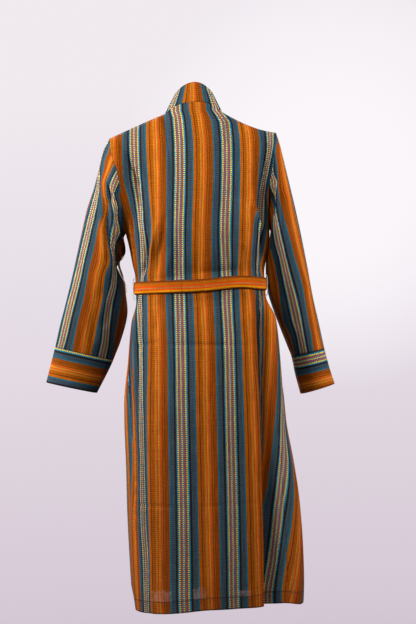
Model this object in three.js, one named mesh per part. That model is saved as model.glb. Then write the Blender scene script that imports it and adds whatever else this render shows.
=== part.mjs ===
import * as THREE from 'three';
import { mergeVertices } from 'three/addons/utils/BufferGeometryUtils.js';

// A striped cotton robe of kimono cut, worn and tied, as a hollow garment.
// Millimetres, +Z up, the front faces -Y, the wearer's left is +X.
// The origin lies midway between the two neck-shoulder points.

// ---------------------------------------------------------------- driving sizes
const WALL = 2;                 // thickness of every cloth wall
const SEAM_GAP = 0.3;           // space left between two pieces at a seam
const SEAM_DRAW = 0.2;          // how far each edge is drawn back to leave it
const ARMHOLE_DRAW = 0.3;       // and the sleeves' own edges
const FRONT_LAP = 4;            // step from the inner front to the outer front
const LAP_MARGIN = 7;           // the outer front keeps that step this far past the inner one
const LAP_FADE = 38;            // and comes down to it over this width
const HEM_Z = -1200;
const HEM_SWAY_FROM = -1060;    // the hem line's rise and fall comes in below this height
const ARMPIT_Z = -288;
const SHOULDER_TIP_Z = -56;
const NECK_HALF_WIDTH = { left: 74, right: 64 };   // neck-shoulder points from the centre line
const SHOULDER_SAG = { left: 1, right: 10 };       // how far each shoulder seam dips between its ends
const NECK_BACK_Y = 62;
const NECK_BACK_Z = 21;         // neck seam at the centre back
const SHOULDER_SEAM_Y = 10;     // the seam lies behind the ridge of the shoulder
const RIDGE_Y = -4;
const RIDGE_RISE = 1.5;
const ARMHOLE_BULGE = 60;       // how far the armhole swings back and forward
const CHEST_FLAT = [70, 130];   // across these places the chest's curve gives way to the armhole's
const ARCH_POWER = 2.4;         // squareness of the roll over the shoulder
const SECTION_POWER = 2.3;      // squareness of the body's section
const BAND_WIDTH = 49;          // neckband, from its seam to its free edge
const BELT_WIDTH = 30;
const BELT_Z = -425;
const BELT_WALL = 2.4;
const BELT_LIFT = 3.4;          // belt's middle above the cloth's middle

// Body sections: half widths to the wearer's left and right, depths back and front,
// and the centre-back line's place across the body.
const BODY = table(['z', 'left', 'right', 'back', 'front', 'centre'], [
  [-1210, 188, 220, 140, 147, 3],
  [-1180, 191, 222, 139, 146, 3],
  [-1140, 197, 223, 139, 145, 3],
  [-1070, 198, 222, 139, 143, 2],
  [-960, 199, 217, 137, 138, 2],
  [-860, 198, 206, 135, 132, 0],
  [-760, 199, 193, 133, 126, -1],
  [-690, 198, 190, 130, 122, -2],
  [-600, 186, 184, 122, 115, -3],
  [-510, 175, 172, 108, 108, -5],
  [-452, 161, 153, 94, 104, -8],
  [-398, 161, 153, 94, 104, -8],
  [-363, 167, 157, 101, 112, -12],
  [-325, 173, 164, 106, 117, -13],
  [-288, 181, 171, 109, 120, -14],
]);

// Where the armhole seam runs across the back, left and right.
const ARMHOLE = table(['z', 'left', 'right'], [
  [-288, 183, 173],
  [-230, 186, 172],
  [-181, 188, 174],
  [-147, 192, 181],
  [-97, 206, 185],
  [-56, 211, 194],
]);

// Centre-back line above the armpits, and the front edge of each front panel
// (the neckband is sewn on there and goes on across by its own width).
const BACK_LINE = table(['z', 'centre'], [
  [-288, -14],
  [-164, -14],
  [-60, -6],
  [30, 0],
]);
const FRONT_EDGE = table(['z', 'left', 'right'], [
  [-1210, -84, -84],
  [-900, -72, -72],
  [-600, -54, -54],
  [-425, -36, -36],
  [-288, 12, 12],
  [-200, 44, 42],
  [-100, 65, 59],
  [0, NECK_HALF_WIDTH.left, NECK_HALF_WIDTH.right],
]);

// The hem's drop below its level, by the length round the cloth from the centre back.
const HEM_LINE = table(['place', 'drop'], [
  [-420, 2],
  [-260, 4],
  [-170, -9],
  [-110, -5],
  [0, -4],
  [120, 5],
  [240, 6],
  [420, 2],
]);

// Side seams, as the length round the cloth from the centre back.
const SIDE_SEAM = table(['z', 'left', 'right'], [
  [-1225, 228, 196],
  [-900, 228, 190],
  [-600, 224, 188],
  [-450, 224, 198],
  [-380, 224, 210],
  [-288, 232, 220],
]);

// Folds down the body: place round the cloth at the fold's top and foot, half width,
// depth (inward is negative) and the heights it runs between.
const FOOT = HEM_Z - 30;        // a fold that ends here runs off the hem
const BODY_FOLDS = [
  { name: 'deep side fold, right', top: -150, foot: -146, half: 15, depth: -30, from: -420, to: FOOT },
  { name: 'side fold, left', top: 205, foot: 214, half: 14, depth: -7, from: -440, to: -1000 },
  { name: 'front side fold, right', top: -300, foot: -330, half: 26, depth: -8, from: -470, to: FOOT },
  { name: 'front side fold, left', top: 300, foot: 322, half: 28, depth: -8, from: -470, to: FOOT },
  { name: 'back flute, left', top: 84, foot: 92, half: 26, depth: -5, from: -700, to: FOOT },
  { name: 'back flute, right', top: -78, foot: -70, half: 24, depth: -4, from: -760, to: FOOT },
  { name: 'blouse fold, left', top: 150, foot: 120, half: 20, depth: -8, from: -300, to: -404 },
  { name: 'blouse fold, right', top: -176, foot: -150, half: 15, depth: -12, from: -200, to: -404 },
];
const FOLD_FADE = 90;           // length over which a fold dies out at its ends

// Sleeve rings: outer and inner point seen from behind (across, z), half depth and
// the middle's place front to back.
const SLEEVE_COLUMNS = ['outerX', 'outerZ', 'innerX', 'innerZ', 'depth', 'middle'];
const SLEEVE_LEFT = [
  [228, -84, 190, -300, 66, 0],
  [243, -136, 198, -318, 69, -2],
  [256, -178, 200, -338, 70, -5],
  [274, -226, 197, -360, 69, -9],
  [295, -304, 192, -392, 66, -16],
  [316, -384, 188, -430, 62, -26],
  [336, -452, 186, -486, 56, -38],
  [353, -506, 203, -545, 47, -50],
  [368, -561, 226, -598.5, 38, -60],
];
const SLEEVE_RIGHT = [
  [203, -84, 177, -300, 66, 0],
  [214, -136, 177, -322, 70, -4],
  [226, -192, 175, -346, 73, -10],
  [238, -249, 171, -372, 74, -18],
  [251, -319, 166, -404, 73, -28],
  [263, -390, 166, -440, 71, -40],
  [274, -460, 177, -482, 69, -52],
  [287, -525, 196, -546, 67, -62],
  [298.6, -587.5, 217.3, -603.8, 64, -70],
];
const CUFF_LEFT = [
  SLEEVE_LEFT.at(-1),
  [380, -601, 247, -638, 35, -67],
  [394.5, -648.6, 270.5, -679, 31, -75],
];
const CUFF_RIGHT = [
  SLEEVE_RIGHT.at(-1),
  [309, -632, 226, -650.6, 61, -77],
  [322, -676.5, 237.5, -699, 57, -84],
];

// ---------------------------------------------------------------- counts of facets
// Rows from the shoulder line (0) to the armpit (1), then heights down to the hem.
const UPPER_TURNS = [0, 0.12, 0.25, 0.38, 0.51, 0.63, 0.74, 0.85, 0.93, 1];
const BODY_ROWS = [-288, -325, -360, -382, -400, -450, -480, -520, -565, -610, -655, -705,
  -765, -830, -895, -965, -1030, -1090, -1140, -1176, HEM_Z];
const NECK_COLUMNS = 4;         // from the centre back to the neck-shoulder point
const SHOULDER_COLUMNS = 9;     // from there to the armhole, on back and fronts alike
const BAND_COLUMNS = 2;
const SECTION_STEPS = 240;
const BELT_COLUMNS = 48;

const COLOURS = {
  orange: 0xa8560f,
  slate: 0x33475a,
  belt: 0x9a4a10,
  thread: 0xd9dfcf,
};

// ---------------------------------------------------------------- small helpers
function table(columns, rows) {
  return rows
    .map((row) => ({ key: row[0], ...Object.fromEntries(columns.map((name, k) => [name, row[k]])) }))
    .sort((a, b) => a.key - b.key);
}

// Smooth reading of one column of a table between its rows, by the first column.
function read(rows, column, place) {
  const last = rows.length - 1;
  const wanted = THREE.MathUtils.clamp(place, rows[0].key, rows[last].key);
  let k = 0;
  while (k < last - 1 && rows[k + 1].key < wanted) k += 1;
  const rate = (m) => (rows[m + 1][column] - rows[m][column]) / (rows[m + 1].key - rows[m].key);
  const slope = (m) => {
    if (m === 0 || m === last) return rate(Math.min(m, last - 1));
    const [before, after] = [rate(m - 1), rate(m)];
    return before * after > 0 ? (2 * before * after) / (before + after) : 0;
  };
  const [a, b] = [rows[k], rows[k + 1]];
  const span = b.key - a.key;
  const f = (wanted - a.key) / span;
  const rise = f * f * (3 - 2 * f);
  return a[column] + (b[column] - a[column]) * rise
    + span * (slope(k) * f * (1 - f) * (1 - f) - slope(k + 1) * f * f * (1 - f));
}

const smooth = (lo, hi, value) => THREE.MathUtils.smoothstep(value, lo, hi);
const mix = THREE.MathUtils.lerp;
const side = (sign) => (sign > 0 ? 'left' : 'right');

// ---------------------------------------------------------------- the body's sections
// A section is a closed line of points with its running length, from the centre back
// round the wearer's left to the front and on round the right.
const sections = new Map();
function section(z) {
  if (sections.has(z)) return sections.get(z);
  const row = (name) => read(BODY, name, z);
  const centre = row('centre');
  const points = [];
  let length = 0;
  for (let k = 0; k <= SECTION_STEPS; k += 1) {
    const angle = (2 * Math.PI * k) / SECTION_STEPS;
    const power = 2 / SECTION_POWER;
    const across = Math.abs(Math.sin(angle)) ** power;
    const deep = Math.abs(Math.cos(angle)) ** power;
    const toLeft = k <= SECTION_STEPS / 2;
    const x = toLeft ? centre + (row('left') - centre) * across : centre - (row('right') + centre) * across;
    const y = Math.cos(angle) > 0 ? row('back') * deep : -row('front') * deep;
    if (k > 0) length += Math.hypot(x - points[k - 1].x, y - points[k - 1].y);
    points.push({ x, y, length });
  }
  const made = { points, total: length };
  sections.set(z, made);
  return made;
}

// Depth of all the folds at one place on the body.
function foldDepth(s, z) {
  return BODY_FOLDS.reduce((sum, fold) => {
    const f = (fold.from - z) / (fold.from - fold.to);
    const place = mix(fold.top, fold.foot, THREE.MathUtils.clamp(f, 0, 1));
    const fade = smooth(0, FOLD_FADE, fold.from - z) * smooth(0, FOLD_FADE, z - fold.to);
    const footStays = fold.to < HEM_Z ? smooth(0, FOLD_FADE, fold.from - z) : fade;
    const strength = fold.to < HEM_Z ? footStays * mix(1, 0.55, f) : fade;
    return sum + fold.depth * strength * Math.exp(-(((s - place) / fold.half) ** 2));
  }, 0);
}

// A point of the body below the armpits: s is the length round from the centre back,
// positive to the wearer's left, and lift moves the point outward.
function bodyPoint(s, z, lift = 0) {
  const { points, total } = section(z);
  const run = THREE.MathUtils.euclideanModulo(s, total);
  let k = 1;
  while (k < points.length - 1 && points[k].length < run) k += 1;
  const [a, b] = [points[k - 1], points[k]];
  const span = b.length - a.length;
  const f = (run - a.length) / span;
  const place = s > total / 2 ? s - total : s;
  const out = lift + foldDepth(place, z);
  const sway = read(HEM_LINE, 'drop', place);
  return new THREE.Vector3(
    mix(a.x, b.x, f) - (out * (b.y - a.y)) / span,
    mix(a.y, b.y, f) + (out * (b.x - a.x)) / span,
    z - sway * (1 - smooth(HEM_Z, HEM_SWAY_FROM, z)),
  );
}

// The length round to the place on the front half that lies at x.
function lengthAt(x, z) {
  const { points } = section(z);
  let k = SECTION_STEPS / 4 + 1;
  while (k < (3 * SECTION_STEPS) / 4 && points[k].x > x) k += 1;
  const [a, b] = [points[k - 1], points[k]];
  return mix(a.length, b.length, (x - a.x) / (b.x - a.x));
}

// ---------------------------------------------------------------- above the armpits
// The top line of the back: the neck seam, then the shoulder seam, by place across.
function backTop(x) {
  const out = Math.abs(x);
  const hand = side(x);
  const neck = NECK_HALF_WIDTH[hand];
  if (out < neck) {
    const f = out / neck;
    return {
      y: mix(SHOULDER_SEAM_Y, NECK_BACK_Y, Math.sqrt(1 - f * f)),
      z: NECK_BACK_Z * (1 - f ** 2.4),
    };
  }
  const f = (out - neck) / (ARMHOLE.at(-1)[hand] - neck);
  const z = SHOULDER_TIP_Z * (0.86 * f + 0.14 * f * f) - SHOULDER_SAG[hand] * 4 * f * (1 - f);
  return { y: SHOULDER_SEAM_Y - 3 * f, z };
}

// A point above the armpits. t runs from 0 to 1 between the inner edge and the armhole,
// and turn from 0 at the top line to 1 at the armpit's height.
function upperPoint({ t, turn, sign, edge, ring, top, bulge, power, depthAt = () => ring.y }) {
  const angle = (Math.PI / 2) * turn;
  const z = ARMPIT_Z + (top.z - ARMPIT_Z) * Math.cos(angle) ** (2 / power);
  const low = 1 - smooth(ARMPIT_Z, -200, z);
  const inner = edge(z);
  const x = mix(mix(inner, sign * read(ARMHOLE, side(sign), z), t), ring.x, low);
  const swing = bulge * Math.sin(2 * angle) ** 0.8 * Math.abs(t) ** 5;
  const y = mix(top.y, depthAt(x), Math.sin(angle) ** (2 / power)) + swing;
  return new THREE.Vector3(x, y, z);
}

function upperBack(t, turn) {
  const sign = t < 0 ? -1 : 1;
  const far = Math.abs(t);
  const tip = sign * read(ARMHOLE, side(sign), SHOULDER_TIP_Z);
  const top = backTop(tip * far);
  const ring = bodyPoint(sign * far * read(SIDE_SEAM, side(sign), ARMPIT_Z), ARMPIT_Z);
  const edge = (z) => read(BACK_LINE, 'centre', z) * smooth(0, 0.4, turn);
  const power = mix(1.7, ARCH_POWER, smooth(0.2, 0.5, far));
  return upperPoint({ t: far, turn, sign, edge, ring, top, bulge: ARMHOLE_BULGE, power });
}

// Layer of a front: the left front rises over the right one and its neckband.
function frontLift(sign, x, z) {
  const underEnd = BAND_WIDTH - read(FRONT_EDGE, 'right', z) + LAP_MARGIN;
  return sign > 0 ? FRONT_LAP * (1 - smooth(underEnd, underEnd + LAP_FADE, x)) : 0;
}

// The fronts, t from 0 at the band's seam to 1 at the armhole or side seam.
function frontLow(sign, t, z) {
  const { total } = section(z);
  const seam = read(SIDE_SEAM, side(sign), z);
  const edge = sign * read(FRONT_EDGE, side(sign), z);
  const reach = sign > 0 ? lengthAt(edge, z) : total - lengthAt(edge, z);
  const s = sign * mix(reach, seam, t);
  const flat = bodyPoint(s, z);
  return bodyPoint(s, z, frontLift(sign, flat.x, z));
}

// How far forward the chest is at the armpits' height, at place x across.
function chestDepth(sign, x) {
  return bodyPoint(lengthAt(x, ARMPIT_Z), ARMPIT_Z, frontLift(sign, x, ARMPIT_Z)).y;
}

function upperFront(sign, t, turn) {
  const tip = read(ARMHOLE, side(sign), SHOULDER_TIP_Z);
  const out = mix(NECK_HALF_WIDTH[side(sign)], tip, Math.max(t, 0));
  const seam = backTop(sign * out);
  const ring = frontLow(sign, t, ARMPIT_Z);
  const top = { y: RIDGE_Y, z: seam.z + RIDGE_RISE };
  if (turn < 0) return new THREE.Vector3(sign * out, seam.y, seam.z);
  const edge = (z) => sign * read(FRONT_EDGE, side(sign), z);
  const power = mix(1.75, ARCH_POWER, smooth(0.1, 0.6, t));
  const depthAt = (x) => mix(chestDepth(sign, x), ring.y, smooth(...CHEST_FLAT, Math.abs(x)));
  return upperPoint({ t, turn, sign, edge, ring, top, bulge: -ARMHOLE_BULGE, power, depthAt });
}

// ---------------------------------------------------------------- cloth pieces
// A piece is a grid of points on the middle of its wall, rows down and columns across.
// ring joins the last column to the first, flip turns its outside the other way, and
// draw is how far its edges are drawn back.
const pieces = [];
function cloth(name, grid, { ring = false, flip = false, wall = WALL, draw = SEAM_DRAW, colour = 'orange' } = {}) {
  pieces.push({ name, grid, ring, flip, wall, draw, colour });
}

function normalsOf({ grid, ring, flip }) {
  const rows = grid.length;
  const columns = grid[0].length;
  const pick = (i, j) => {
    const jj = ring ? (j + columns) % columns : THREE.MathUtils.clamp(j, 0, columns - 1);
    return grid[THREE.MathUtils.clamp(i, 0, rows - 1)][jj];
  };
  return grid.map((row, i) => row.map((_, j) => {
    const across = pick(i, j + 1).clone().sub(pick(i, j - 1));
    const down = pick(i + 1, j).clone().sub(pick(i - 1, j));
    const normal = across.cross(down).normalize();
    return flip ? normal.negate() : normal;
  }));
}

// Pieces that meet at a seam share the direction of their wall there.
function shareNormals(list) {
  const border = [];
  list.forEach((piece) => piece.grid.forEach((row, i) => row.forEach((point, j) => {
    const onEnd = i === 0 || i === piece.grid.length - 1;
    const onSide = !piece.ring && (j === 0 || j === row.length - 1);
    if (onEnd || onSide) border.push({ piece, point, i, j, normal: piece.normals[i][j].clone() });
  })));
  border.forEach((one) => {
    const sum = new THREE.Vector3();
    border.forEach((two) => {
      if (two.point.distanceTo(one.point) < 0.75) sum.add(two.normal);
    });
    one.piece.normals[one.i][one.j] = sum.normalize();
  });
}

// Draws the edges back along the cloth, to leave the gap of a seam.
function drawBack({ grid, ring, draw }) {
  const rows = grid.length;
  const columns = grid[0].length;
  const toward = (from, to) => to.clone().sub(from).setLength(draw);
  return grid.map((row, i) => row.map((point, j) => {
    const moved = point.clone();
    if (i === 0) moved.add(toward(point, grid[1][j]));
    if (i === rows - 1) moved.add(toward(point, grid[rows - 2][j]));
    if (!ring && j === 0) moved.add(toward(point, row[1]));
    if (!ring && j === columns - 1) moved.add(toward(point, row[columns - 2]));
    return moved;
  }));
}

// The closed wall of one piece.
function wallGeometry(piece) {
  const grid = drawBack(piece);
  const rows = grid.length;
  const columns = grid[0].length;
  const positions = [];
  [1, -1].forEach((face) => grid.forEach((row, i) => row.forEach((point, j) => {
    const moved = point.clone().addScaledVector(piece.normals[i][j], (face * piece.wall) / 2);
    positions.push(moved.x, moved.y, moved.z);
  })));
  const inner = rows * columns;
  const at = (i, j) => i * columns + (j % columns);
  const triangles = [];
  const quad = (a, b, c, d) => {
    const corners = piece.flip ? [a, b, c, a, c, d] : [a, c, b, a, d, c];
    triangles.push(...corners);
  };
  const lastColumn = piece.ring ? columns : columns - 1;
  for (let i = 0; i < rows - 1; i += 1) {
    for (let j = 0; j < lastColumn; j += 1) {
      quad(at(i, j), at(i + 1, j), at(i + 1, j + 1), at(i, j + 1));
      quad(inner + at(i, j), inner + at(i, j + 1), inner + at(i + 1, j + 1), inner + at(i + 1, j));
    }
  }
  for (let j = 0; j < lastColumn; j += 1) {
    quad(at(0, j), at(0, j + 1), inner + at(0, j + 1), inner + at(0, j));
    quad(at(rows - 1, j + 1), at(rows - 1, j), inner + at(rows - 1, j), inner + at(rows - 1, j + 1));
  }
  for (let i = 0; i < rows - 1 && !piece.ring; i += 1) {
    const j = columns - 1;
    quad(at(i + 1, 0), at(i, 0), inner + at(i, 0), inner + at(i + 1, 0));
    quad(at(i, j), at(i + 1, j), inner + at(i + 1, j), inner + at(i, j));
  }
  const geometry = new THREE.BufferGeometry();
  geometry.setAttribute('position', new THREE.Float32BufferAttribute(positions, 3));
  geometry.setIndex(triangles);
  return geometry;
}

const steps = (count, from = 0, to = 1) => Array.from({ length: count + 1 }, (_, k) => mix(from, to, k / count));

// ---------------------------------------------------------------- back and fronts
function backGrid() {
  const half = (sign) => {
    const neck = NECK_HALF_WIDTH[side(sign)] / read(ARMHOLE, side(sign), SHOULDER_TIP_Z);
    const round = steps(NECK_COLUMNS, 0, Math.PI / 2).slice(1).map((angle) => neck * Math.sin(angle));
    return [...round, ...steps(SHOULDER_COLUMNS, neck, 1).slice(1)];
  };
  const across = [...half(-1).reverse().map((t) => -t), 0, ...half(1)];
  const upper = UPPER_TURNS.slice(0, -1).map((turn) => across.map((t) => upperBack(t, turn)));
  const lower = BODY_ROWS.map((z) => across.map((t) => {
    const sign = t < 0 ? -1 : 1;
    return bodyPoint(t * read(SIDE_SEAM, side(sign), z), z);
  }));
  return [...upper, ...lower];
}

function frontGrid(sign, across) {
  const upper = [-1, ...UPPER_TURNS.slice(0, -1)].map((turn) => across.map((t) => upperFront(sign, t, turn)));
  const lower = BODY_ROWS.map((z) => across.map((t) => frontLow(sign, t, z)));
  return [...upper, ...lower];
}

const frontAcross = (sign) => (sign > 0 ? steps(SHOULDER_COLUMNS, 1, 0) : steps(SHOULDER_COLUMNS, 0, 1));

cloth('back', backGrid());
cloth('front_left', frontGrid(1, frontAcross(1)));
cloth('front_right', frontGrid(-1, frontAcross(-1)), { colour: 'slate' });

// ---------------------------------------------------------------- neckband
// It stands up at the back of the neck, leans in to the neck, and runs down each front
// edge to the hem. It is pieced at the neck-shoulder points.
const BAND_FOLDS_OVER_Z = -150;  // below this the band lies flat on the chest
const STAND_TOP = { left: 50, right: 44, back: 46, z: 71, drop: 26 };

function backStand(angle, across) {
  const hand = side(angle);
  const x = NECK_HALF_WIDTH[hand] * Math.sin(angle);
  const seam = backTop(x);
  const low = new THREE.Vector3(x, seam.y, seam.z);
  const tilt = Math.sin(angle) ** 2;
  const high = new THREE.Vector3(
    STAND_TOP[hand] * Math.sin(angle),
    mix(0, STAND_TOP.back, Math.cos(angle)),
    STAND_TOP.z - STAND_TOP.drop * tilt,
  );
  return low.lerp(high, across);
}

function bandUpper(sign, across, turn) {
  const shoulder = (sign * Math.PI) / 2;
  const edge = upperFront(sign, 0, turn);
  const rise = backStand(shoulder, across).sub(backStand(shoulder, 0));
  const standing = edge.clone().add(rise);
  const frontWidth = read(ARMHOLE, side(sign), edge.z) - sign * edge.x;
  const lying = upperFront(sign, (-across * BAND_WIDTH) / frontWidth, Math.max(turn, 0));
  return lying.lerp(standing, smooth(BAND_FOLDS_OVER_Z, RIDGE_RISE, edge.z));
}

function bandLow(sign, across, z) {
  const { total } = section(z);
  const edge = sign * read(FRONT_EDGE, side(sign), z);
  const reach = sign > 0 ? lengthAt(edge, z) : total - lengthAt(edge, z);
  const s = sign * (reach + across * BAND_WIDTH);
  return bodyPoint(s, z, frontLift(sign, bodyPoint(s, z).x, z));
}

function bandGrid(sign) {
  const across = sign > 0 ? steps(BAND_COLUMNS) : steps(BAND_COLUMNS, 1, 0);
  const upper = [-1, ...UPPER_TURNS.slice(0, -1)].map((turn) => across.map((f) => bandUpper(sign, f, turn)));
  const lower = BODY_ROWS.map((z) => across.map((f) => bandLow(sign, f, z)));
  return [...upper, ...lower];
}

const backStandGrid = steps(BAND_COLUMNS, 1, 0).map((across) => (
  steps(2 * NECK_COLUMNS, -Math.PI / 2, Math.PI / 2).map((angle) => backStand(angle, across))
));
cloth('neckband_back', backStandGrid, { colour: 'slate' });
cloth('neckband_left', bandGrid(1), { colour: 'slate' });
cloth('neckband_right', bandGrid(-1));

// ---------------------------------------------------------------- sleeves and cuffs
// Every ring starts at the underarm and goes up the back, over the top and down the front.
function armholeLoop(sign) {
  const back = [...UPPER_TURNS].reverse().map((turn) => upperBack(sign, turn));
  const front = [-1, ...UPPER_TURNS].map((turn) => upperFront(sign, 1, turn));
  const loop = [...back.slice(0, -1), ...front.slice(0, -1)];
  return loop.map((point) => point.setX(point.x + sign * SEAM_GAP));
}

// Angles round a sleeve that keep each of its lines at the height where it starts.
const RING_ANGLES = (() => {
  const rise = UPPER_TURNS.map((turn) => Math.cos((Math.PI / 2) * turn) ** (2 / ARCH_POWER));
  const back = rise.slice(1).reverse().map((f) => Math.acos(1 - 2 * f));
  const front = rise.slice(1, -1).map((f) => 2 * Math.PI - Math.acos(1 - 2 * f));
  return [...back, Math.PI - 0.12, Math.PI + 0.08, ...front];
})();

function sleeveRing(sign, row) {
  const ring = Object.fromEntries(SLEEVE_COLUMNS.map((name, k) => [name, row[k]]));
  return RING_ANGLES.map((angle) => {
    const f = (1 - Math.cos(angle)) / 2;
    const deep = Math.sign(Math.sin(angle)) * Math.abs(Math.sin(angle)) ** 0.86;
    return new THREE.Vector3(
      sign * mix(ring.innerX, ring.outerX, f),
      ring.middle + ring.depth * deep,
      mix(ring.innerZ, ring.outerZ, f),
    );
  });
}

[1, -1].forEach((sign) => {
  const loop = armholeLoop(sign);
  const rings = (rows) => rows.map((row) => sleeveRing(sign, row));
  const flip = sign < 0;
  cloth(`sleeve_${side(sign)}`, [loop, ...rings(sign > 0 ? SLEEVE_LEFT : SLEEVE_RIGHT)], { ring: true, flip, draw: ARMHOLE_DRAW });
  cloth(`cuff_${side(sign)}`, rings(sign > 0 ? CUFF_LEFT : CUFF_RIGHT), { ring: true, flip, colour: 'slate' });
});

// ---------------------------------------------------------------- belt
const beltZ = (s) => BELT_Z + 6 * Math.exp(-(((s + 80) / 60) ** 2)) - 1.5;
function beltGrid() {
  const { total } = section(BELT_Z);
  return steps(2, 0.5, -0.5).map((f) => (
    Array.from({ length: BELT_COLUMNS }, (_, k) => {
      const s = (total * k) / BELT_COLUMNS;
      const z = beltZ(s > total / 2 ? s - total : s) + f * BELT_WIDTH;
      const flat = bodyPoint(s, BELT_Z);
      const layer = flat.y < 0 ? frontLift(1, Math.abs(flat.x), BELT_Z) : 0;
      const point = bodyPoint(s, BELT_Z, BELT_LIFT + layer);
      return point.setZ(z);
    })
  ));
}
cloth('belt', beltGrid(), { ring: true, wall: BELT_WALL, draw: 0, colour: 'belt' });

// The belt's ends come out under the knot and hang over the front.
const KNOT = { x: 8, halfWidth: 24, halfDepth: 11, halfHeight: 23, power: 3 };
const TAILS = [
  { name: 'belt_end_left', x: 24, spread: 26, length: 330 },
  { name: 'belt_end_right', x: -9, spread: -12, length: 296 },
];
const TAIL_LIFT = FRONT_LAP + 3;
const TAIL_TOP = BELT_Z - 1.5 - KNOT.halfHeight - 0.5;
const TAIL_ROWS = 8;

TAILS.forEach(({ name, x, spread, length }) => {
  const grid = steps(TAIL_ROWS).map((f) => [0.5, 0, -0.5].map((across) => {
    const z = TAIL_TOP - length * f;
    const place = x + spread * f + across * BELT_WIDTH;
    return bodyPoint(lengthAt(place, z), z, TAIL_LIFT);
  }));
  cloth(name, grid, { wall: BELT_WALL, draw: 0, colour: 'belt' });
});

function knotGeometry() {
  const { x, halfWidth, halfDepth, halfHeight, power } = KNOT;
  const geometry = new THREE.BoxGeometry(2, 2, 2, 5, 4, 5);
  const place = geometry.attributes.position;
  const front = bodyPoint(lengthAt(x, BELT_Z), BELT_Z, BELT_LIFT + FRONT_LAP + BELT_WALL / 2);
  const point = new THREE.Vector3();
  for (let k = 0; k < place.count; k += 1) {
    point.fromBufferAttribute(place, k);
    const size = (Math.abs(point.x) ** power + Math.abs(point.y) ** power + Math.abs(point.z) ** power) ** (1 / power);
    point.divideScalar(size);
    place.setXYZ(
      k,
      x + point.x * halfWidth,
      front.y - halfDepth - SEAM_GAP + point.y * halfDepth,
      BELT_Z - 1.5 + point.z * halfHeight,
    );
  }
  ['normal', 'uv'].forEach((name) => geometry.deleteAttribute(name));
  return mergeVertices(geometry, 0.001);
}

// Belt loops: short cords of thread chained over the belt at the side seams.
const LOOP = { radius: 1.1, top: -399, foot: -452, low: 2.7, high: BELT_LIFT + BELT_WALL / 2 + 1.7, sides: 6, steps: 12 };

function loopGeometry(sign) {
  const s = sign * (read(SIDE_SEAM, side(sign), BELT_Z) - 3);
  const route = [[LOOP.top, LOOP.low], [LOOP.top - 5, LOOP.high], [BELT_Z, LOOP.high + 0.6],
    [LOOP.foot + 5, LOOP.high], [LOOP.foot, LOOP.low]];
  const path = new THREE.CatmullRomCurve3(route.map(([z, lift]) => bodyPoint(s, BELT_Z, lift).setZ(z)));
  const circle = new THREE.Shape(Array.from({ length: LOOP.sides }, (_, k) => {
    const angle = (2 * Math.PI * k) / LOOP.sides;
    return new THREE.Vector2(LOOP.radius * Math.cos(angle), LOOP.radius * Math.sin(angle));
  }));
  const geometry = new THREE.ExtrudeGeometry(circle, { steps: LOOP.steps, extrudePath: path, bevelEnabled: false });
  ['normal', 'uv'].forEach((name) => geometry.deleteAttribute(name));
  return mergeVertices(geometry, 0.001);
}

// ---------------------------------------------------------------- build
pieces.forEach((piece) => { piece.normals = normalsOf(piece); });
shareNormals(pieces);

const robe = new THREE.Group();
robe.name = 'cotton_kimono';
function add(name, geometry, colour) {
  const material = new THREE.MeshStandardMaterial({ color: COLOURS[colour], roughness: 0.85, metalness: 0 });
  const mesh = new THREE.Mesh(geometry, material);
  mesh.name = name;
  robe.add(mesh);
}
pieces.forEach((piece) => add(piece.name, wallGeometry(piece), piece.colour));
add('belt_knot', knotGeometry(), 'belt');
add('belt_loop_left', loopGeometry(1), 'thread');
add('belt_loop_right', loopGeometry(-1), 'thread');

export default robe;
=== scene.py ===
import math

import bmesh
import bpy
import numpy as np
from mathutils import Matrix, Vector


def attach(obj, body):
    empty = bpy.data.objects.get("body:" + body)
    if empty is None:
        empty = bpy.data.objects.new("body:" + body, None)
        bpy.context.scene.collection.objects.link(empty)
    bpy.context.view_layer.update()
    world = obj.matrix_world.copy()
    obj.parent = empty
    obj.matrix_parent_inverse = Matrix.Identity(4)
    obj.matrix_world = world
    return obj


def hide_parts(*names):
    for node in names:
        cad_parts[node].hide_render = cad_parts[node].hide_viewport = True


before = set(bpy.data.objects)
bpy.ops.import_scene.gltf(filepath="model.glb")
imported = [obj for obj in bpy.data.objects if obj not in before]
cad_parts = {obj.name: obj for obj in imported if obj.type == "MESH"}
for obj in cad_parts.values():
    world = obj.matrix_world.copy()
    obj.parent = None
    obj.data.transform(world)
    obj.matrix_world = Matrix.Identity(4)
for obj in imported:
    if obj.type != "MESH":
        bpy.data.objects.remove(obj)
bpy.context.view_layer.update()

# %% [markdown]
# # A striped cotton robe of kimono cut
#
# The robe is worn and tied, and hollow. It is made from one striped handloom cloth, cut into
# straight panels: one back, two fronts, two sleeves with deep cuffs, a neckband and a belt.
#
# **How it could be made.** Each piece is a sheet of thin cotton, so each piece here is a
# grid of points that is bent into the shape it has when worn. The points are placed by the
# same sections that the solids were drawn from, so every seam falls where it should.
# A cloth simulation could settle the hem, but the form of worn cloth is known from its
# sections, so the folds are placed one by one in their own sizes.
#
# Lengths in the shape cells are millimetres. They become metres when the mesh is made.

# %% A table of sizes
MM = 0.001


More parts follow.
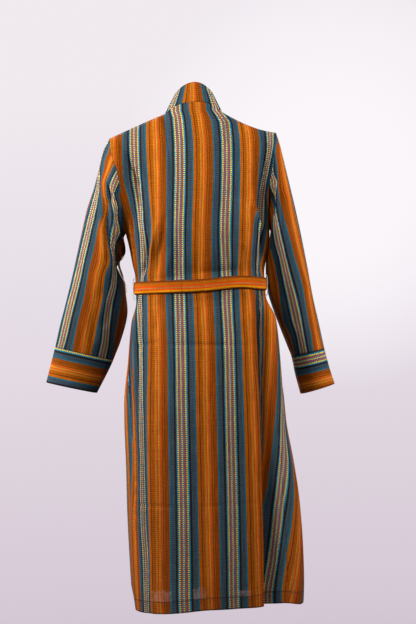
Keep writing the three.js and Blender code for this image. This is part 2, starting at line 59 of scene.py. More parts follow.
class Table:
    """Rows of sizes by their first column, read smoothly between the rows."""

    def __init__(self, columns, rows):
        rows = sorted(rows)
        self.keys = np.array([row[0] for row in rows], float)
        self.columns = {
            name: np.array([row[k + 1] for row in rows], float)
            for k, name in enumerate(columns[1:])
        }

    def read(self, name, place):
        keys, values = self.keys, self.columns[name]
        place = np.clip(place, keys[0], keys[-1])
        k = np.clip(np.searchsorted(keys, place) - 1, 0, len(keys) - 2)
        rates = np.diff(values) / np.diff(keys)
        slopes = np.concatenate([rates[:1], np.zeros(len(keys) - 2), rates[-1:]])
        before, after = rates[:-1], rates[1:]
        same_way = before * after > 0
        slopes[1:-1][same_way] = (2 * before * after)[same_way] / (before + after)[same_way]
        span = keys[k + 1] - keys[k]
        f = (place - keys[k]) / span
        rise = f * f * (3 - 2 * f)
        bend = slopes[k] * f * (1 - f) ** 2 - slopes[k + 1] * f * f * (1 - f)
        return values[k] + (values[k + 1] - values[k]) * rise + span * bend


print("a table read at its middle row:", Table(["z", "size"], [(0, 0), (10, 5), (20, 6)]).read("size", 10))


# %% Small helpers
def smooth(low, high, value):
    """0 at low and before it, 1 at high and past it, with soft ends."""
    f = np.clip((np.asarray(value, float) - low) / (high - low), 0, 1)
    return f * f * (3 - 2 * f)


def mix(a, b, f):
    return a + (b - a) * f


def hand(sign):
    return "left" if sign > 0 else "right"


print("a third of the way, softly:", round(float(smooth(0, 3, 1)), 3))

# %% [markdown]
# ## The body's sections
#
# Below the armpits the robe is a tube. Its section at each height is a squared ellipse with
# its own half width on the wearer's left and right and its own depth behind and in front.
# A place on the cloth is then a length round the tube from the centre back, and a height.
# Going by length keeps the stripes evenly spaced, as they are in real cloth.

# %% Driving sizes, in millimetres
HEM_Z = -1200
HEM_SWAY_FROM = -1060  # above this height the hem's sway no longer shows
ARMPIT_Z = -288
SHOULDER_TIP_Z = -56
SHOULDER_SAG = {"left": 1, "right": 10}
SHOULDER_SEAM_Y = 10
NECK_HALF_WIDTH = {"left": 74, "right": 64}
NECK_BACK_Y = 62
NECK_BACK_Z = 21
RIDGE_Y = -4
RIDGE_RISE = 1.5
FRONT_LAP = 4
LAP_MARGIN = 7
LAP_FADE = 38
CHEST_FLAT = (70, 130)
BAND_WIDTH = 49
BELT_WIDTH = 30
BELT_Z = -425
CLOTH = 0.9  # thickness shown for one layer of cloth
print("hem to neck at the back:", NECK_BACK_Z - HEM_Z, "mm")

# %% The body's half widths and depths, by height
BODY = Table(["z", "left", "right", "back", "front", "centre"], [
    (-1210, 188, 220, 140, 147, 3),
    (-1180, 191, 222, 139, 146, 3),
    (-1140, 197, 223, 139, 145, 3),
    (-1070, 198, 222, 139, 143, 2),
    (-960, 199, 217, 137, 138, 2),
    (-860, 198, 206, 135, 132, 0),
    (-760, 199, 193, 133, 126, -1),
    (-690, 198, 190, 130, 122, -2),
    (-600, 186, 186, 122, 115, -3),
    (-510, 175, 179, 108, 108, -5),
    (-452, 161, 156, 94, 104, -8),
    (-398, 161, 154, 94, 104, -8),
    (-363, 167, 160, 101, 112, -12),
    (-325, 173, 169, 106, 117, -13),
    (-288, 181, 171, 109, 120, -14),
])
ARMHOLE = Table(["z", "left", "right"], [
    (-288, 183, 173),
    (-230, 186, 172),
    (-181, 188, 174),
    (-147, 192, 181),
    (-97, 206, 185),
    (-56, 211, 194),
])
BACK_LINE = Table(["z", "centre"], [(-288, -14), (-164, -14), (-60, -6), (30, 0)])
waist = {side: float(BODY.read(side, BELT_Z).round(1)) for side in BODY.columns}
print("the body at the belt:", waist)

# %% The edges and the side seams, by height
FRONT_EDGE = Table(["z", "left", "right"], [
    (-1210, -84, -84),
    (-900, -72, -72),
    (-600, -54, -54),
    (-425, -36, -36),
    (-288, 12, 12),
    (-200, 44, 42),
    (-100, 65, 59),
    (0, NECK_HALF_WIDTH["left"], NECK_HALF_WIDTH["right"]),
])
HEM_LINE = Table(["place", "drop"], [
    (-420, 2),
    (-260, 4),
    (-170, -9),
    (-110, -5),
    (0, -4),
    (120, 5),
    (240, 6),
    (420, 2),
])
SIDE_SEAM = Table(["z", "left", "right"], [
    (-1225, 228, 196),
    (-900, 228, 190),
    (-600, 224, 188),
    (-450, 224, 198),
    (-380, 224, 210),
    (-288, 232, 220),
])
print("the fronts lap by", -2 * FRONT_EDGE.read("left", BELT_Z), "mm at the belt")

# %% [markdown]
# The largest folds of the skirt are part of the body's section itself. Each is a soft trough
# that drifts round the body on its way down. The deep one right of the middle is where the
# belt takes up a handful of cloth. Other ways are a sculpted brush stroke or a simulation,
# but a row of sizes for each fold is easy to read and to correct.

# %% The long folds of the body
# Place round the cloth at the top and at the foot, half width, depth, and the heights
# the fold runs between. A fold whose foot is FOOT runs off the hem.
FOOT = HEM_Z - 30
FOLD_FADE = 90
FOLD_LEFT_AT_FOOT = 0.55  # share of its depth that a fold keeps at the foot
BODY_FOLDS = [
    (-150, -146, 15, -40, -420, FOOT),
    (205, 214, 14, -7, -440, -1000),
    (-300, -330, 26, -2, -470, FOOT),
    (300, 322, 28, -8, -470, FOOT),
    (84, 92, 26, -5, -700, FOOT),
    (-78, -70, 24, -4, -760, FOOT),
    (150, 120, 20, -8, -300, -404),
    (-176, -150, 15, -12, -200, -404),
]
print("long folds:", len(BODY_FOLDS))


def fold_depth(s, z):
    total = np.zeros_like(s)
    for top, foot, half, depth, high, low in BODY_FOLDS:
        f = (high - z) / (high - low)
        place = mix(top, foot, np.clip(f, 0, 1))
        strength = smooth(0, FOLD_FADE, high - z)
        if low < HEM_Z:
            strength = strength * mix(1, FOLD_LEFT_AT_FOOT, f)
        else:
            strength = strength * smooth(0, FOLD_FADE, z - low)
        total = total + depth * strength * np.exp(-(((s - place) / half) ** 2))
    return total


# %% The body's closed line at a height
SECTION_POWER = 2.3  # 2 is an ellipse, more is squarer
SECTION_STEPS = 720
known_sections = {}


def section(z):
    """The closed line of the body at height z: points, running length and tangents."""
    if z in known_sections:
        return known_sections[z]
    left, right, back, front, centre = (float(BODY.read(name, z)) for name in BODY.columns)
    angle = np.linspace(0, 2 * np.pi, SECTION_STEPS + 1)
    power = 2 / SECTION_POWER
    across = np.abs(np.sin(angle)) ** power
    deep = np.abs(np.cos(angle)) ** power
    to_left = np.arange(SECTION_STEPS + 1) <= SECTION_STEPS / 2
    x = np.where(to_left, centre + (left - centre) * across, centre - (right + centre) * across)
    y = np.where(np.cos(angle) > 0, back * deep, -front * deep)
    length = np.concatenate([[0], np.cumsum(np.hypot(np.diff(x), np.diff(y)))])
    loop_x = np.concatenate([x[-2:-1], x, x[1:2]])
    loop_y = np.concatenate([y[-2:-1], y, y[1:2]])
    along_x = loop_x[2:] - loop_x[:-2]
    along_y = loop_y[2:] - loop_y[:-2]
    size = np.hypot(along_x, along_y)
    made = (x, y, length, along_x / size, along_y / size)
    known_sections[z] = made
    return made


print("girth at the belt:", round(section(BELT_Z)[2][-1]), "mm")
print("girth at the hem:", round(section(HEM_Z)[2][-1]), "mm")


# %% A row of points on the body
def body_row(s, z, lift=0.0, folded=True):
    """Points of the body at height z: s is the length round from the centre back."""
    s = np.asarray(s, float)
    x, y, length, along_x, along_y = section(z)
    total = length[-1]
    run = np.mod(s, total)
    place = np.where(s > total / 2, s - total, s)
    out = lift + (fold_depth(place, z) if folded else 0)
    drop = HEM_LINE.read("drop", place) * (1 - smooth(HEM_Z, HEM_SWAY_FROM, z))
    at_x, at_y = np.interp(run, length, x), np.interp(run, length, y)
    to_x, to_y = np.interp(run, length, along_x), np.interp(run, length, along_y)
    return np.stack([at_x - out * to_y, at_y + out * to_x, z - drop], axis=-1)


def length_at(x, z):
    """The length round to the place on the front half that lies at x."""
    xs, _, length, _, _ = section(z)
    first, last = SECTION_STEPS // 4, 3 * SECTION_STEPS // 4 + 1
    return np.interp(-np.asarray(x, float), -xs[first:last], length[first:last])


print("the hem at the centre back:", body_row(0.0, HEM_Z).round(1), "mm")

# %% [markdown]
# ## Over the shoulders
#
# Above the armpits each panel rolls up and over the shoulder. A column of the panel starts
# at the top line, which is the curved neck seam and then the shoulder seam, and drops to the
# section at the armpits along a squared quarter circle. The shoulder seam lies a little
# behind the ridge, so a sliver of each front panel shows above it from behind.

# %% The back over the shoulders
ARCH_POWER = 2.4  # how square the quarter circle over the shoulder is
ARMHOLE_BULGE = 60
CHEST_Z = -200  # from the armpits up to here the panels leave the tube's section
BACK_NECK_POWER = 1.7
FRONT_NECK_POWER = 1.75
NECK_CURVE = 2.4
SHOULDER_BEND = 0.14  # share of the shoulder's drop that comes late
SHOULDER_FORWARD = 3  # how much nearer the front the seam's tip lies
BULGE_ROUND = 0.8
BULGE_TO_EDGE = 5


def back_top(x):
    """The neck seam and then the shoulder seam, by place across."""
    x = np.asarray(x, float)
    out = np.abs(x)
    neck = np.where(x > 0, NECK_HALF_WIDTH["left"], NECK_HALF_WIDTH["right"])
    tip = np.where(x > 0, ARMHOLE.columns["left"][-1], ARMHOLE.columns["right"][-1])
    sag = np.where(x > 0, SHOULDER_SAG["left"], SHOULDER_SAG["right"])
    f = np.clip(out / neck, 0, 1)
    neck_y = mix(SHOULDER_SEAM_Y, NECK_BACK_Y, np.sqrt(1 - f * f))
    neck_z = NECK_BACK_Z * (1 - f**NECK_CURVE)
    g = (out - neck) / (tip - neck)
    seam_z = SHOULDER_TIP_Z * mix(g, g * g, SHOULDER_BEND) - sag * 4 * g * (1 - g)
    seam_y = SHOULDER_SEAM_Y - SHOULDER_FORWARD * g
    on_neck = out < neck
    return np.where(on_neck, neck_y, seam_y), np.where(on_neck, neck_z, seam_z)


def upper_row(t, turn, sign, edge, ring, top_y, top_z, bulge, power, depth_at=None):
    """One row above the armpits, t from the inner edge (0) to the armhole (1)."""
    angle = math.pi / 2 * turn
    z = ARMPIT_Z + (top_z - ARMPIT_Z) * math.cos(angle) ** (2 / power)
    low = 1 - smooth(ARMPIT_Z, CHEST_Z, z)
    seam = sign * np.where(sign > 0, ARMHOLE.read("left", z), ARMHOLE.read("right", z))
    x = mix(mix(edge(z), seam, t), ring[..., 0], low)
    swing = bulge * max(math.sin(2 * angle), 0) ** BULGE_ROUND * np.abs(t) ** BULGE_TO_EDGE
    deep = ring[..., 1] if depth_at is None else depth_at(x)
    y = mix(top_y, deep, math.sin(angle) ** (2 / power)) + swing
    return np.stack([x, y, z], axis=-1)


def upper_back(t, turn):
    t = np.asarray(t, float)
    sign = np.where(t < 0, -1, 1)
    far = np.abs(t)
    tip = np.where(sign > 0, ARMHOLE.columns["left"][-1], ARMHOLE.columns["right"][-1])
    top_y, top_z = back_top(sign * tip * far)
    seam = np.where(sign > 0, SIDE_SEAM.read("left", ARMPIT_Z), SIDE_SEAM.read("right", ARMPIT_Z))
    ring = body_row(sign * far * seam, ARMPIT_Z)
    leans = float(smooth(0, 0.4, turn))
    power = mix(BACK_NECK_POWER, ARCH_POWER, smooth(0.2, 0.5, far))
    return upper_row(
        far, turn, sign, lambda z: BACK_LINE.read("centre", z) * leans, ring, top_y, top_z,
        ARMHOLE_BULGE, power,
    )


print("shoulder tips at", [ARMHOLE.columns[name][-1] for name in ("left", "right")], "mm")


# %% The fronts over the shoulders
def front_lift(sign, x, z):
    """The left front lies over the right one and over its neckband."""
    if sign < 0:
        return np.zeros_like(x)
    under_end = BAND_WIDTH - FRONT_EDGE.read("right", z) + LAP_MARGIN
    return FRONT_LAP * (1 - smooth(0, LAP_FADE, x - under_end))


def front_low(sign, t, z):
    total = section(z)[2][-1]
    seam = float(SIDE_SEAM.read(hand(sign), z))
    at_edge = float(length_at(sign * FRONT_EDGE.read(hand(sign), z), z))
    reach = at_edge if sign > 0 else total - at_edge
    s = sign * mix(reach, seam, np.asarray(t, float))
    flat = body_row(s, z)
    return body_row(s, z, front_lift(sign, flat[..., 0], z))


def chest_depth(sign, x):
    return body_row(length_at(x, ARMPIT_Z), ARMPIT_Z, front_lift(sign, x, ARMPIT_Z))[..., 1]


def upper_front(sign, t, turn):
    t = np.asarray(t, float)
    tip = ARMHOLE.columns[hand(sign)][-1]
    out = mix(NECK_HALF_WIDTH[hand(sign)], tip, np.maximum(t, 0))
    seam_y, seam_z = back_top(sign * out)
    if turn < 0:
        return np.stack([sign * out, seam_y, seam_z], axis=-1)
    ring = front_low(sign, t, ARMPIT_Z)
    power = mix(FRONT_NECK_POWER, ARCH_POWER, smooth(0.1, 0.6, t))

    def depth_at(x):
        return mix(chest_depth(sign, x), ring[..., 1], smooth(*CHEST_FLAT, np.abs(x)))

    return upper_row(
        t, turn, sign, lambda z: sign * FRONT_EDGE.read(hand(sign), z), ring,
        np.full_like(t, RIDGE_Y), seam_z + RIDGE_RISE, -ARMHOLE_BULGE, power, depth_at,
    )


print("the left front's edge at the belt:", front_low(1, 0.0, BELT_Z).round(1), "mm")

# %% [markdown]
# The neckband stands round the back of the neck, leaning inward, and lies flat on the chest.
# Its rows are blended from standing to lying over the shoulder, as a real band turns there.

# %% The neckband's rows
BAND_FOLDS_OVER_Z = -150
STAND_TOP = {"left": 50, "right": 44, "back": 46, "z": 71, "drop": 26}


def back_stand(angle, across):
    """The band where it stands round the back of the neck. across is 0 at the seam."""
    angle, across = np.broadcast_arrays(np.asarray(angle, float), np.asarray(across, float))
    on_left = angle > 0
    x = np.where(on_left, NECK_HALF_WIDTH["left"], NECK_HALF_WIDTH["right"]) * np.sin(angle)
    seam_y, seam_z = back_top(x)
    low = np.stack([x, seam_y, seam_z], axis=-1)
    top = np.where(on_left, STAND_TOP["left"], STAND_TOP["right"]) * np.sin(angle)
    high_z = STAND_TOP["z"] - STAND_TOP["drop"] * np.sin(angle) ** 2
    high = np.stack([top, STAND_TOP["back"] * np.cos(angle), high_z], axis=-1)
    return mix(low, high, across[..., None])


def band_row(sign, across, turn=None, z=None):
    """One row of a front band: a turn above the armpits, or a height z below them."""
    across = np.asarray(across, float)
    if turn is None:
        total = section(z)[2][-1]
        at_edge = float(length_at(sign * FRONT_EDGE.read(hand(sign), z), z))
        reach = at_edge if sign > 0 else total - at_edge
        s = sign * (reach + across * BAND_WIDTH)
        return body_row(s, z, front_lift(sign, body_row(s, z)[..., 0], z))
    edge = upper_front(sign, np.zeros(1), turn)[0]
    shoulder = sign * math.pi / 2
    rise = back_stand(shoulder, across) - back_stand(shoulder, 0 * across)
    width = ARMHOLE.read(hand(sign), edge[2]) - sign * edge[0]
    lying = upper_front(sign, -across * BAND_WIDTH / width, max(turn, 0))
    return mix(lying, edge + rise, smooth(BAND_FOLDS_OVER_Z, RIDGE_RISE, edge[2]))


print("top of the stand:", STAND_TOP["z"], "mm over the origin")

# %% [markdown]
# ## The sleeves
#
# A sleeve is a straight tube of cloth. It leaves the armhole with its threads lying across
# the body and then hangs down along the arm, so the stripes fan out from the seam and bend
# downward. Each sleeve is a row of slanted rings, from the armhole loop to the cuff's seam.
# The ring's outer and inner points and its depth are sizes in a table. The grid starts and
# ends at the underarm, where the real seam is. Rings that slant are better than level ones,
# because a sleeve's cloth is cut square to the arm, and its stripes run along the arm.

# %% The sleeves' rings
RING = ["row", "outer_x", "outer_z", "inner_x", "inner_z", "depth", "middle"]
SLEEVE = {
    "left": Table(RING, [
        (1, 228, -84, 187, -300, 66, 0),
        (2, 243, -136, 184, -318, 69, -2),
        (3, 256, -178, 185, -338, 70, -5),
        (4, 274, -226, 199, -360, 69, -9),
        (5, 295, -304, 192, -392, 66, -16),
        (6, 316, -384, 188, -430, 62, -26),
        (7, 336, -452, 186, -486, 56, -38),
        (8, 353, -506, 203, -545, 47, -50),
        (9, 368, -561, 226, -598.5, 38, -60),
        (10, 380, -601, 247, -638, 35, -67),
        (11, 394.5, -648.6, 270.5, -679, 31, -75),
    ]),
    "right": Table(RING, [
        (1, 203, -84, 174, -300, 66, 0),
        (2, 214, -136, 169.5, -322, 70, -4),
        (3, 226, -192, 164, -346, 73, -10),
        (4, 238, -249, 160, -372, 74, -18),
        (5, 251, -319, 159.5, -404, 73, -28),
        (6, 263, -390, 162.5, -440, 71, -40),
        (7, 274, -460, 174, -482, 69, -52),
        (8, 287, -525, 196, -546, 67, -62),
        (9, 298.6, -587.5, 217.3, -603.8, 64, -70),
        (10, 309, -632, 226, -650.6, 61, -77),
        (11, 322, -676.5, 237.5, -699, 57, -84),
    ]),
}
CUFF_ROW = 9  # the sleeve's last ring, where the cuff is sewn on
SLEEVE_ROUND = 0.86  # roundness of a ring, under 1 is squarer
TOP_BACK = math.pi - 0.12  # ring angle of the shoulder seam
TOP_FRONT = math.pi + 0.08  # and of the ridge in front of it
OVER_RIDGE = (0.33, 0.67)  # shares of the way over, where the armhole has two more points
SEAM_GAP = 0.3


def armhole_and_angles(sign, count):
    """Points round the armhole from the underarm, and the ring angle that each one keeps."""
    turns = np.linspace(0, 1, count)
    rise = np.cos(np.pi / 2 * turns) ** (2 / ARCH_POWER)
    angle = np.arccos(np.clip(1 - 2 * rise, -1, 1))
    back = [upper_back(np.array([float(sign)]), turn)[0] for turn in turns[::-1]]
    front = [upper_front(sign, np.ones(1), turn)[0] for turn in turns]
    ridge = upper_front(sign, np.ones(1), -1)[0]
    over = [mix(ridge, front[0], f) for f in OVER_RIDGE]
    back_angle = angle[::-1] * TOP_BACK / math.pi
    front_angle = 2 * math.pi - angle * (2 * math.pi - TOP_FRONT) / math.pi
    over_angle = [mix(TOP_BACK, TOP_FRONT, f) for f in OVER_RIDGE]
    loop = np.array(back + over + front)
    loop[:, 0] += sign * SEAM_GAP
    return loop, np.concatenate([back_angle, over_angle, front_angle])


def sleeve_ring(sign, row, angle):
    size = {name: float(SLEEVE[hand(sign)].read(name, row)) for name in RING[1:]}
    f = (1 - np.cos(angle)) / 2
    deep = np.sign(np.sin(angle)) * np.abs(np.sin(angle)) ** SLEEVE_ROUND
    return np.stack([
        sign * mix(size["inner_x"], size["outer_x"], f),
        size["middle"] + size["depth"] * deep,
        mix(size["inner_z"], size["outer_z"], f),
    ], axis=-1)


for side in SLEEVE:
    print(side, "cuff ends", SLEEVE[side].columns["outer_z"][-1], "mm below the neck")

# %% [markdown]
# ## From a grid of points to a piece of cloth
#
# Every piece has the same making: a grid from Blender's own grid operator, its points moved
# to their places, a UV map that holds each point's place on the flat cloth in metres, and a
# Solidify modifier for the thickness. The UV's first number runs across the stripes and the
# second along them, so one cloth finish serves every piece. A second UV map holds the height
# above the hem, which the hem's stitching follows.

# %% Lengths, normals and creases on a grid of points
def measure(points, axis):
    """Running length along one axis of a grid of points."""
    step = np.linalg.norm(np.diff(points, axis=axis), axis=-1)
    first = np.zeros_like(np.take(step, [0], axis=axis))
    return np.cumsum(np.concatenate([first, step], axis=axis), axis=axis)


def outward(points, closed=False):
    """Unit normals of a grid whose rows go down and whose columns go to the wearer's left."""
    across = np.gradient(points, axis=1)
    if closed:
        across[:, 0] = across[:, -1] = points[:, 1] - points[:, -2]
    normal = np.cross(across, np.gradient(points, axis=0))
    return normal / np.maximum(np.linalg.norm(normal, axis=-1, keepdims=True), 1e-9)


def creased(u, v, rows):
    """Depth of troughs and ridges at places u, v, in millimetres. A row is the two
    ends of a line, its half width, its depth (inward is negative), its bow, and its sharpness."""
    total = np.zeros_like(u, dtype=float)
    for u0, v0, u1, v1, half, depth, bow, power in rows:
        along_u, along_v = u1 - u0, v1 - v0
        size = math.hypot(along_u, along_v)
        f = ((u - u0) * along_u + (v - v0) * along_v) / size**2
        off = ((v - v0) * along_u - (u - u0) * along_v) / size
        off = off - bow * 4 * f * (1 - f)
        inside = np.clip(4 * f * (1 - f), 0, 1) * ((f > 0) & (f < 1))
        total += depth * inside**0.8 * np.exp(-((np.abs(off) / half) ** power))
    return total


print("3 across and 4 up is", measure(np.array([[[0, 0, 0], [3, 4, 0]]]), 1)[0, -1], "long")

# %% The making of a piece
NO_HEM = 1000.0  # height above the hem on a piece that has none


def add_piece(name, mesh, replaces=None):
    piece = bpy.data.objects.new(name, mesh)
    bpy.context.scene.collection.objects.link(piece)
    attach(piece, "root")
    if replaces:
        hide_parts(replaces)
    return piece


def cloth_piece(name, points, uv, thickness=CLOTH, hemmed=False):
    """A thin shell through a grid of points. uv is each point's place on the flat cloth. On a
    hemmed piece each point also keeps its height above the grid's last row."""
    rows, columns = points.shape[:2]
    bm = bmesh.new()
    bmesh.ops.create_grid(bm, x_segments=columns - 1, y_segments=rows - 1, size=1)
    mesh = bpy.data.meshes.new(name)
    bm.to_mesh(mesh)
    bm.free()
    flat = np.empty(len(mesh.vertices) * 3)
    mesh.vertices.foreach_get("co", flat)
    flat = flat.reshape(-1, 3)
    j = np.rint((flat[:, 0] + 1) / 2 * (columns - 1)).astype(int)
    i = np.rint((1 - flat[:, 1]) / 2 * (rows - 1)).astype(int)
    mesh.vertices.foreach_set("co", (points[i, j] * MM).ravel())
    corner = np.empty(len(mesh.loops), dtype=np.int32)
    mesh.loops.foreach_get("vertex_index", corner)
    layer = mesh.uv_layers.new(name="cloth")
    layer.data.foreach_set("uv", (uv[i, j] * MM)[corner].ravel())
    above = uv[..., 1] - uv[-1:, :, 1] if hemmed else np.full(uv.shape[:2], NO_HEM)
    edge = mesh.uv_layers.new(name="hem")
    edge.data.foreach_set("uv", np.repeat((above[i, j] * MM)[corner], 2))
    mesh.polygons.foreach_set("use_smooth", np.ones(len(mesh.polygons), dtype=bool))
    mesh.update()
    piece = add_piece(name + "_cloth", mesh, name)
    solid = piece.modifiers.new("thickness", "SOLIDIFY")
    solid.thickness = thickness * MM
    solid.offset = 0
    print(name, rows, "x", columns, "points")
    return piece


# %% [markdown]
# ## Where the stripes lie
#
# The pattern repeats every 116 mm. Its middle is an orange band, and half a repeat away is
# the many-coloured band. On a worn robe the cloth leans, gathers and folds, so the stripes
# drift a little. Each table below gives the places of known stripe lines at a few heights.
# A point between two lines gets its place on the flat cloth from those two lines, and past
# the last line the cloth simply goes on by its own length.

# %% Places of the stripes on the back
REPEAT = 116
BACK_LINES = [
    -348, -324, -304.5, -275.5, -256, -232, -208, -188.5, -159.5, -140,
    -116, -58, 0, 58, 116, 140, 159.5, 188.5, 207.3, 232,
]
BACK_STRIPES = Table(["z", *BACK_LINES], [
    (0, -336.5, -315, -297, -271, -253.5, -232, -208, -192, -160, -139,
     -114, -50, -8, 47, 100, 121, 137.5, 162.5, 178, 199),
    (-16, -336.5, -315, -297, -271, -253.5, -232, -209, -192, -164, -142,
     -119, -62, -11.5, 43, 98, 120, 136, 163, 178, 199),
    (-32, -336.5, -315, -297, -271, -253.5, -232, -208, -191, -167, -147,
     -123.5, -71, -13, 41.5, 98, 120, 137, 163, 178, 199),
    (-80, -332.5, -311, -293, -267, -249.5, -228, -204, -188, -170.5, -153,
     -128, -73, -16, 40, 96.5, 121, 138, 163.5, 179, 202),
    (-147, -318.5, -297, -279, -253, -235.5, -214, -190, -173, -160, -148,
     -126.5, -71, -14.5, 41.5, 97, 119.5, 138, 161, 179.5, 198.5),
    (-211, -292.5, -270.5, -253, -227, -209.5, -188, -166.5, -162.5, -148.5, -141,
     -124, -67, -11, 45, 98.5, 117, 134.5, 153.5, 168, 186),
    (-276, -277, -255.5, -238, -211.5, -194, -172.5, -166.5, -159, -143, -134.5,
     -120.5, -62, -6, 49, 100.5, 114, 131.5, 147, 157, 169),
    (-308, -273.5, -252, -234, -208, -190.5, -169, -162, -151.5, -142, -130.5,
     -118, -61, -4.5, 50.5, 102, 113, 130.5, 145, 156.5, 165.5),
    (-340, -270, -248, -230.5, -204.5, -187, -165.5, -157, -145.5, -139, -126,
     -115, -61.5, -3, 51.5, 103, 119.5, 129, 145, 153.5, 163),
    (-398, -263, -241.5, -224, -198, -180, -158.5, -146.5, -138, -134.5, -122.5,
     -109.5, -62, -1, 53, 105.5, 130, 138.5, 146.5, 151.5, 160.5),
    (-471, -269, -247.5, -230, -203.5, -186, -167.5, -149, -145, -140.5, -131,
     -114.5, -60, -4.5, 53.5, 111, 131, 147, 157.5, 163.5, 166),
    (-555, -266, -244.5, -227, -201, -183, -164.5, -146, -142, -138, -126,
     -114, -61.5, -5.5, 54.5, 108.5, 133, 146.5, 161, 166.5, 169),
    (-699, -255.5, -234, -216.5, -190, -171.5, -149.5, -136, -134, -132.5, -131,
     -113.5, -59.5, -3, 57, 112.5, 139, 149, 163, 171, 174),
    (-820, -241.5, -219.5, -202, -174.5, -156, -138, -134, -133, -132, -131,
     -113, -57.5, -1, 59, 115.5, 142.5, 152.5, 162.5, 168, 173),
    (-892, -229, -207.5, -189.5, -164.5, -144.5, -131.5, -130.5, -129.5, -128, -127,
     -112.5, -56.5, 0, 60, 117, 143.5, 153.5, 165, 170, 176.5),
    (-988, -216, -195.5, -176.5, -150, -130.5, -130, -129, -128.5, -128, -127.5,
     -112, -55, 1.5, 61.5, 119.5, 144.5, 154.5, 166.5, 173, 180.5),
    (-1084, -205, -181.5, -160.5, -138.5, -130, -129, -128.5, -128, -127.5, -126.5,
     -111.5, -53, 2, 64, 122, 145.5, 152, 164.5, 172, 180.5),
    (-1181, -189, -166.5, -146.5, -129.5, -129, -128.5, -127.5, -127, -126.5, -126,
     -111, -50.5, 2, 66.5, 124.5, 148.5, 153.5, 165, 172, 180.5),
    (-1225, -189, -166.5, -146.5, -129.5, -129, -128.5, -127.5, -127, -126.5, -126,
     -111, -50.5, 2, 66.5, 124.5, 148.5, 153.5, 165, 172, 180.5),
])
print("the back's stripes:", len(BACK_LINES), "lines at", len(BACK_STRIPES.keys), "heights")

# %% Places of the stripes on the sleeves
LEFT_LINES = [-72.5, -43.5, -24, 24, 43.5, 72.5, 92]
LEFT_STRIPES = Table(["z", *LEFT_LINES], [
    (-68, 238, 222, 207, 176, 161, 137, 125),
    (-88, 243, 228, 212, 176, 159, 133, 121),
    (-112, 248, 236, 223, 192, 177, 153, 141),
    (-131, 250, 239, 226, 205, 191, 166, 154),
    (-147, 247, 236, 231, 214, 202, 179, 166),
    (-164, 246, 238, 234, 222, 211, 188, 177),
    (-179, 249, 237, 233, 223, 216, 195, 187),
    (-196, 254, 239, 232, 223, 213, 203, 192),
    (-208, 258, 242, 231, 220, 211, 200, 192),
    (-227, 264, 247, 231, 218, 209, 196, 187),
    (-244, 269, 252, 231, 224, 207, 197, 183),
    (-261, 274, 256, 239, 226, 208, 197, 184),
    (-280, 279, 262, 246, 226, 213, 191, 186),
    (-300, 285, 267, 251, 223, 217, 194, 185),
    (-317, 290, 272, 255, 222, 218, 207, 192),
    (-353, 300, 282, 266, 220, 216, 207, 198),
    (-389, 311, 291, 276, 234, 217, 205, 192),
    (-413, 318, 298, 281, 238, 221, 207, 193),
    (-449, 330, 309, 290, 243, 234, 215, 197),
    (-497, 344, 324, 305, 256, 243, 225, 208),
    (-546, 358, 338, 318, 268, 250, 232, 219),
    (-565, 364, 345, 322, 273, 255, 235, 222),
    (-594, 373, 354, 329, 281, 264, 243, 228),
])
RIGHT_LINES = [-92, -72.5, -43.5, -24, 0]
RIGHT_STRIPES = Table(["z", *RIGHT_LINES], [
    (-64, -159, -174, -190, -201, -213),
    (-105, -160, -171, -183, -191, -205),
    (-125, -160, -171, -185, -192, -206),
    (-144, -160, -171, -184, -195, -207),
    (-161, -161, -173, -185, -196, -208),
    (-173, -163, -175, -190, -195, -210),
    (-185, -162, -174, -192, -195, -212),
    (-198, -167, -178, -189, -194, -214),
    (-222, -167, -178, -186, -199, -219),
    (-241, -168, -180, -186, -202, -222),
    (-258, -167, -180, -188, -204, -225),
    (-295, -165, -178, -194, -212, -232),
    (-332, -168, -182, -202, -222, -239),
    (-363, -174, -190, -208, -229, -246),
    (-393, -179, -195, -215, -238, -252),
    (-429, -185, -201, -224, -246, -261),
    (-466, -190, -208, -233, -252, -265),
    (-515, -197, -217, -242, -258, -272),
    (-552, -213, -228, -247, -265, -277),
    (-583, -220, -233, -252, -268, -282),
    (-608, -225, -237, -256, -271, -285),
])
print("the sleeves' stripes:", len(LEFT_LINES), "and", len(RIGHT_LINES), "lines")

# %% From the stripes' lines to places on the flat cloth
TURNED_AWAY = 0.3  # where the cloth faces this little to the back, it goes on by its length


def lines_to_cloth(lines, stripes, points, s, facing):
    """Places on the flat cloth of rows of points, from the places of the stripe lines.

    s is the length along each row and facing is how far each point faces the back."""
    x, z = points[..., 0], points[..., 2]
    at = np.stack([stripes.read(name, z) for name in lines], axis=-1)
    if at[0, 0, 0] > at[0, 0, -1]:
        at, x = -at, -x
    u = np.empty_like(x)
    for place in np.ndindex(x.shape):
        u[place] = np.interp(x[place], at[place], lines)
    margins = np.stack([x - at[..., 0], at[..., -1] - x, facing - TURNED_AWAY])
    for row in range(len(u)):
        inside = np.flatnonzero((margins[:, row] >= 0).all(axis=0))
        way = 1 if u[row, inside[-1]] > u[row, inside[0]] else -1
        found = u[row].copy()
        for edge, step in ((inside[0], -1), (inside[-1], 1)):
            if not 0 <= edge + step < u.shape[1]:
                continue
            within, past = margins[:, row, edge], margins[:, row, edge + step]
            share = np.where(past < 0, within / np.maximum(within - past, 1e-9), 2)
            f = share.min()
            at_edge = (lines[0], lines[-1], mix(u[row, edge], u[row, edge + step], f))
            crossing = mix(s[row, edge], s[row, edge + step], f)
            rest = slice(edge + 1, None) if step > 0 else slice(None, edge)
            length = np.abs(s[row, rest] - crossing)
            found[rest] = at_edge[share.argmin()] + way * step * length
        u[row] = found
    return u


print("lines reach round to", round(90 - math.degrees(math.asin(TURNED_AWAY))), "degrees")
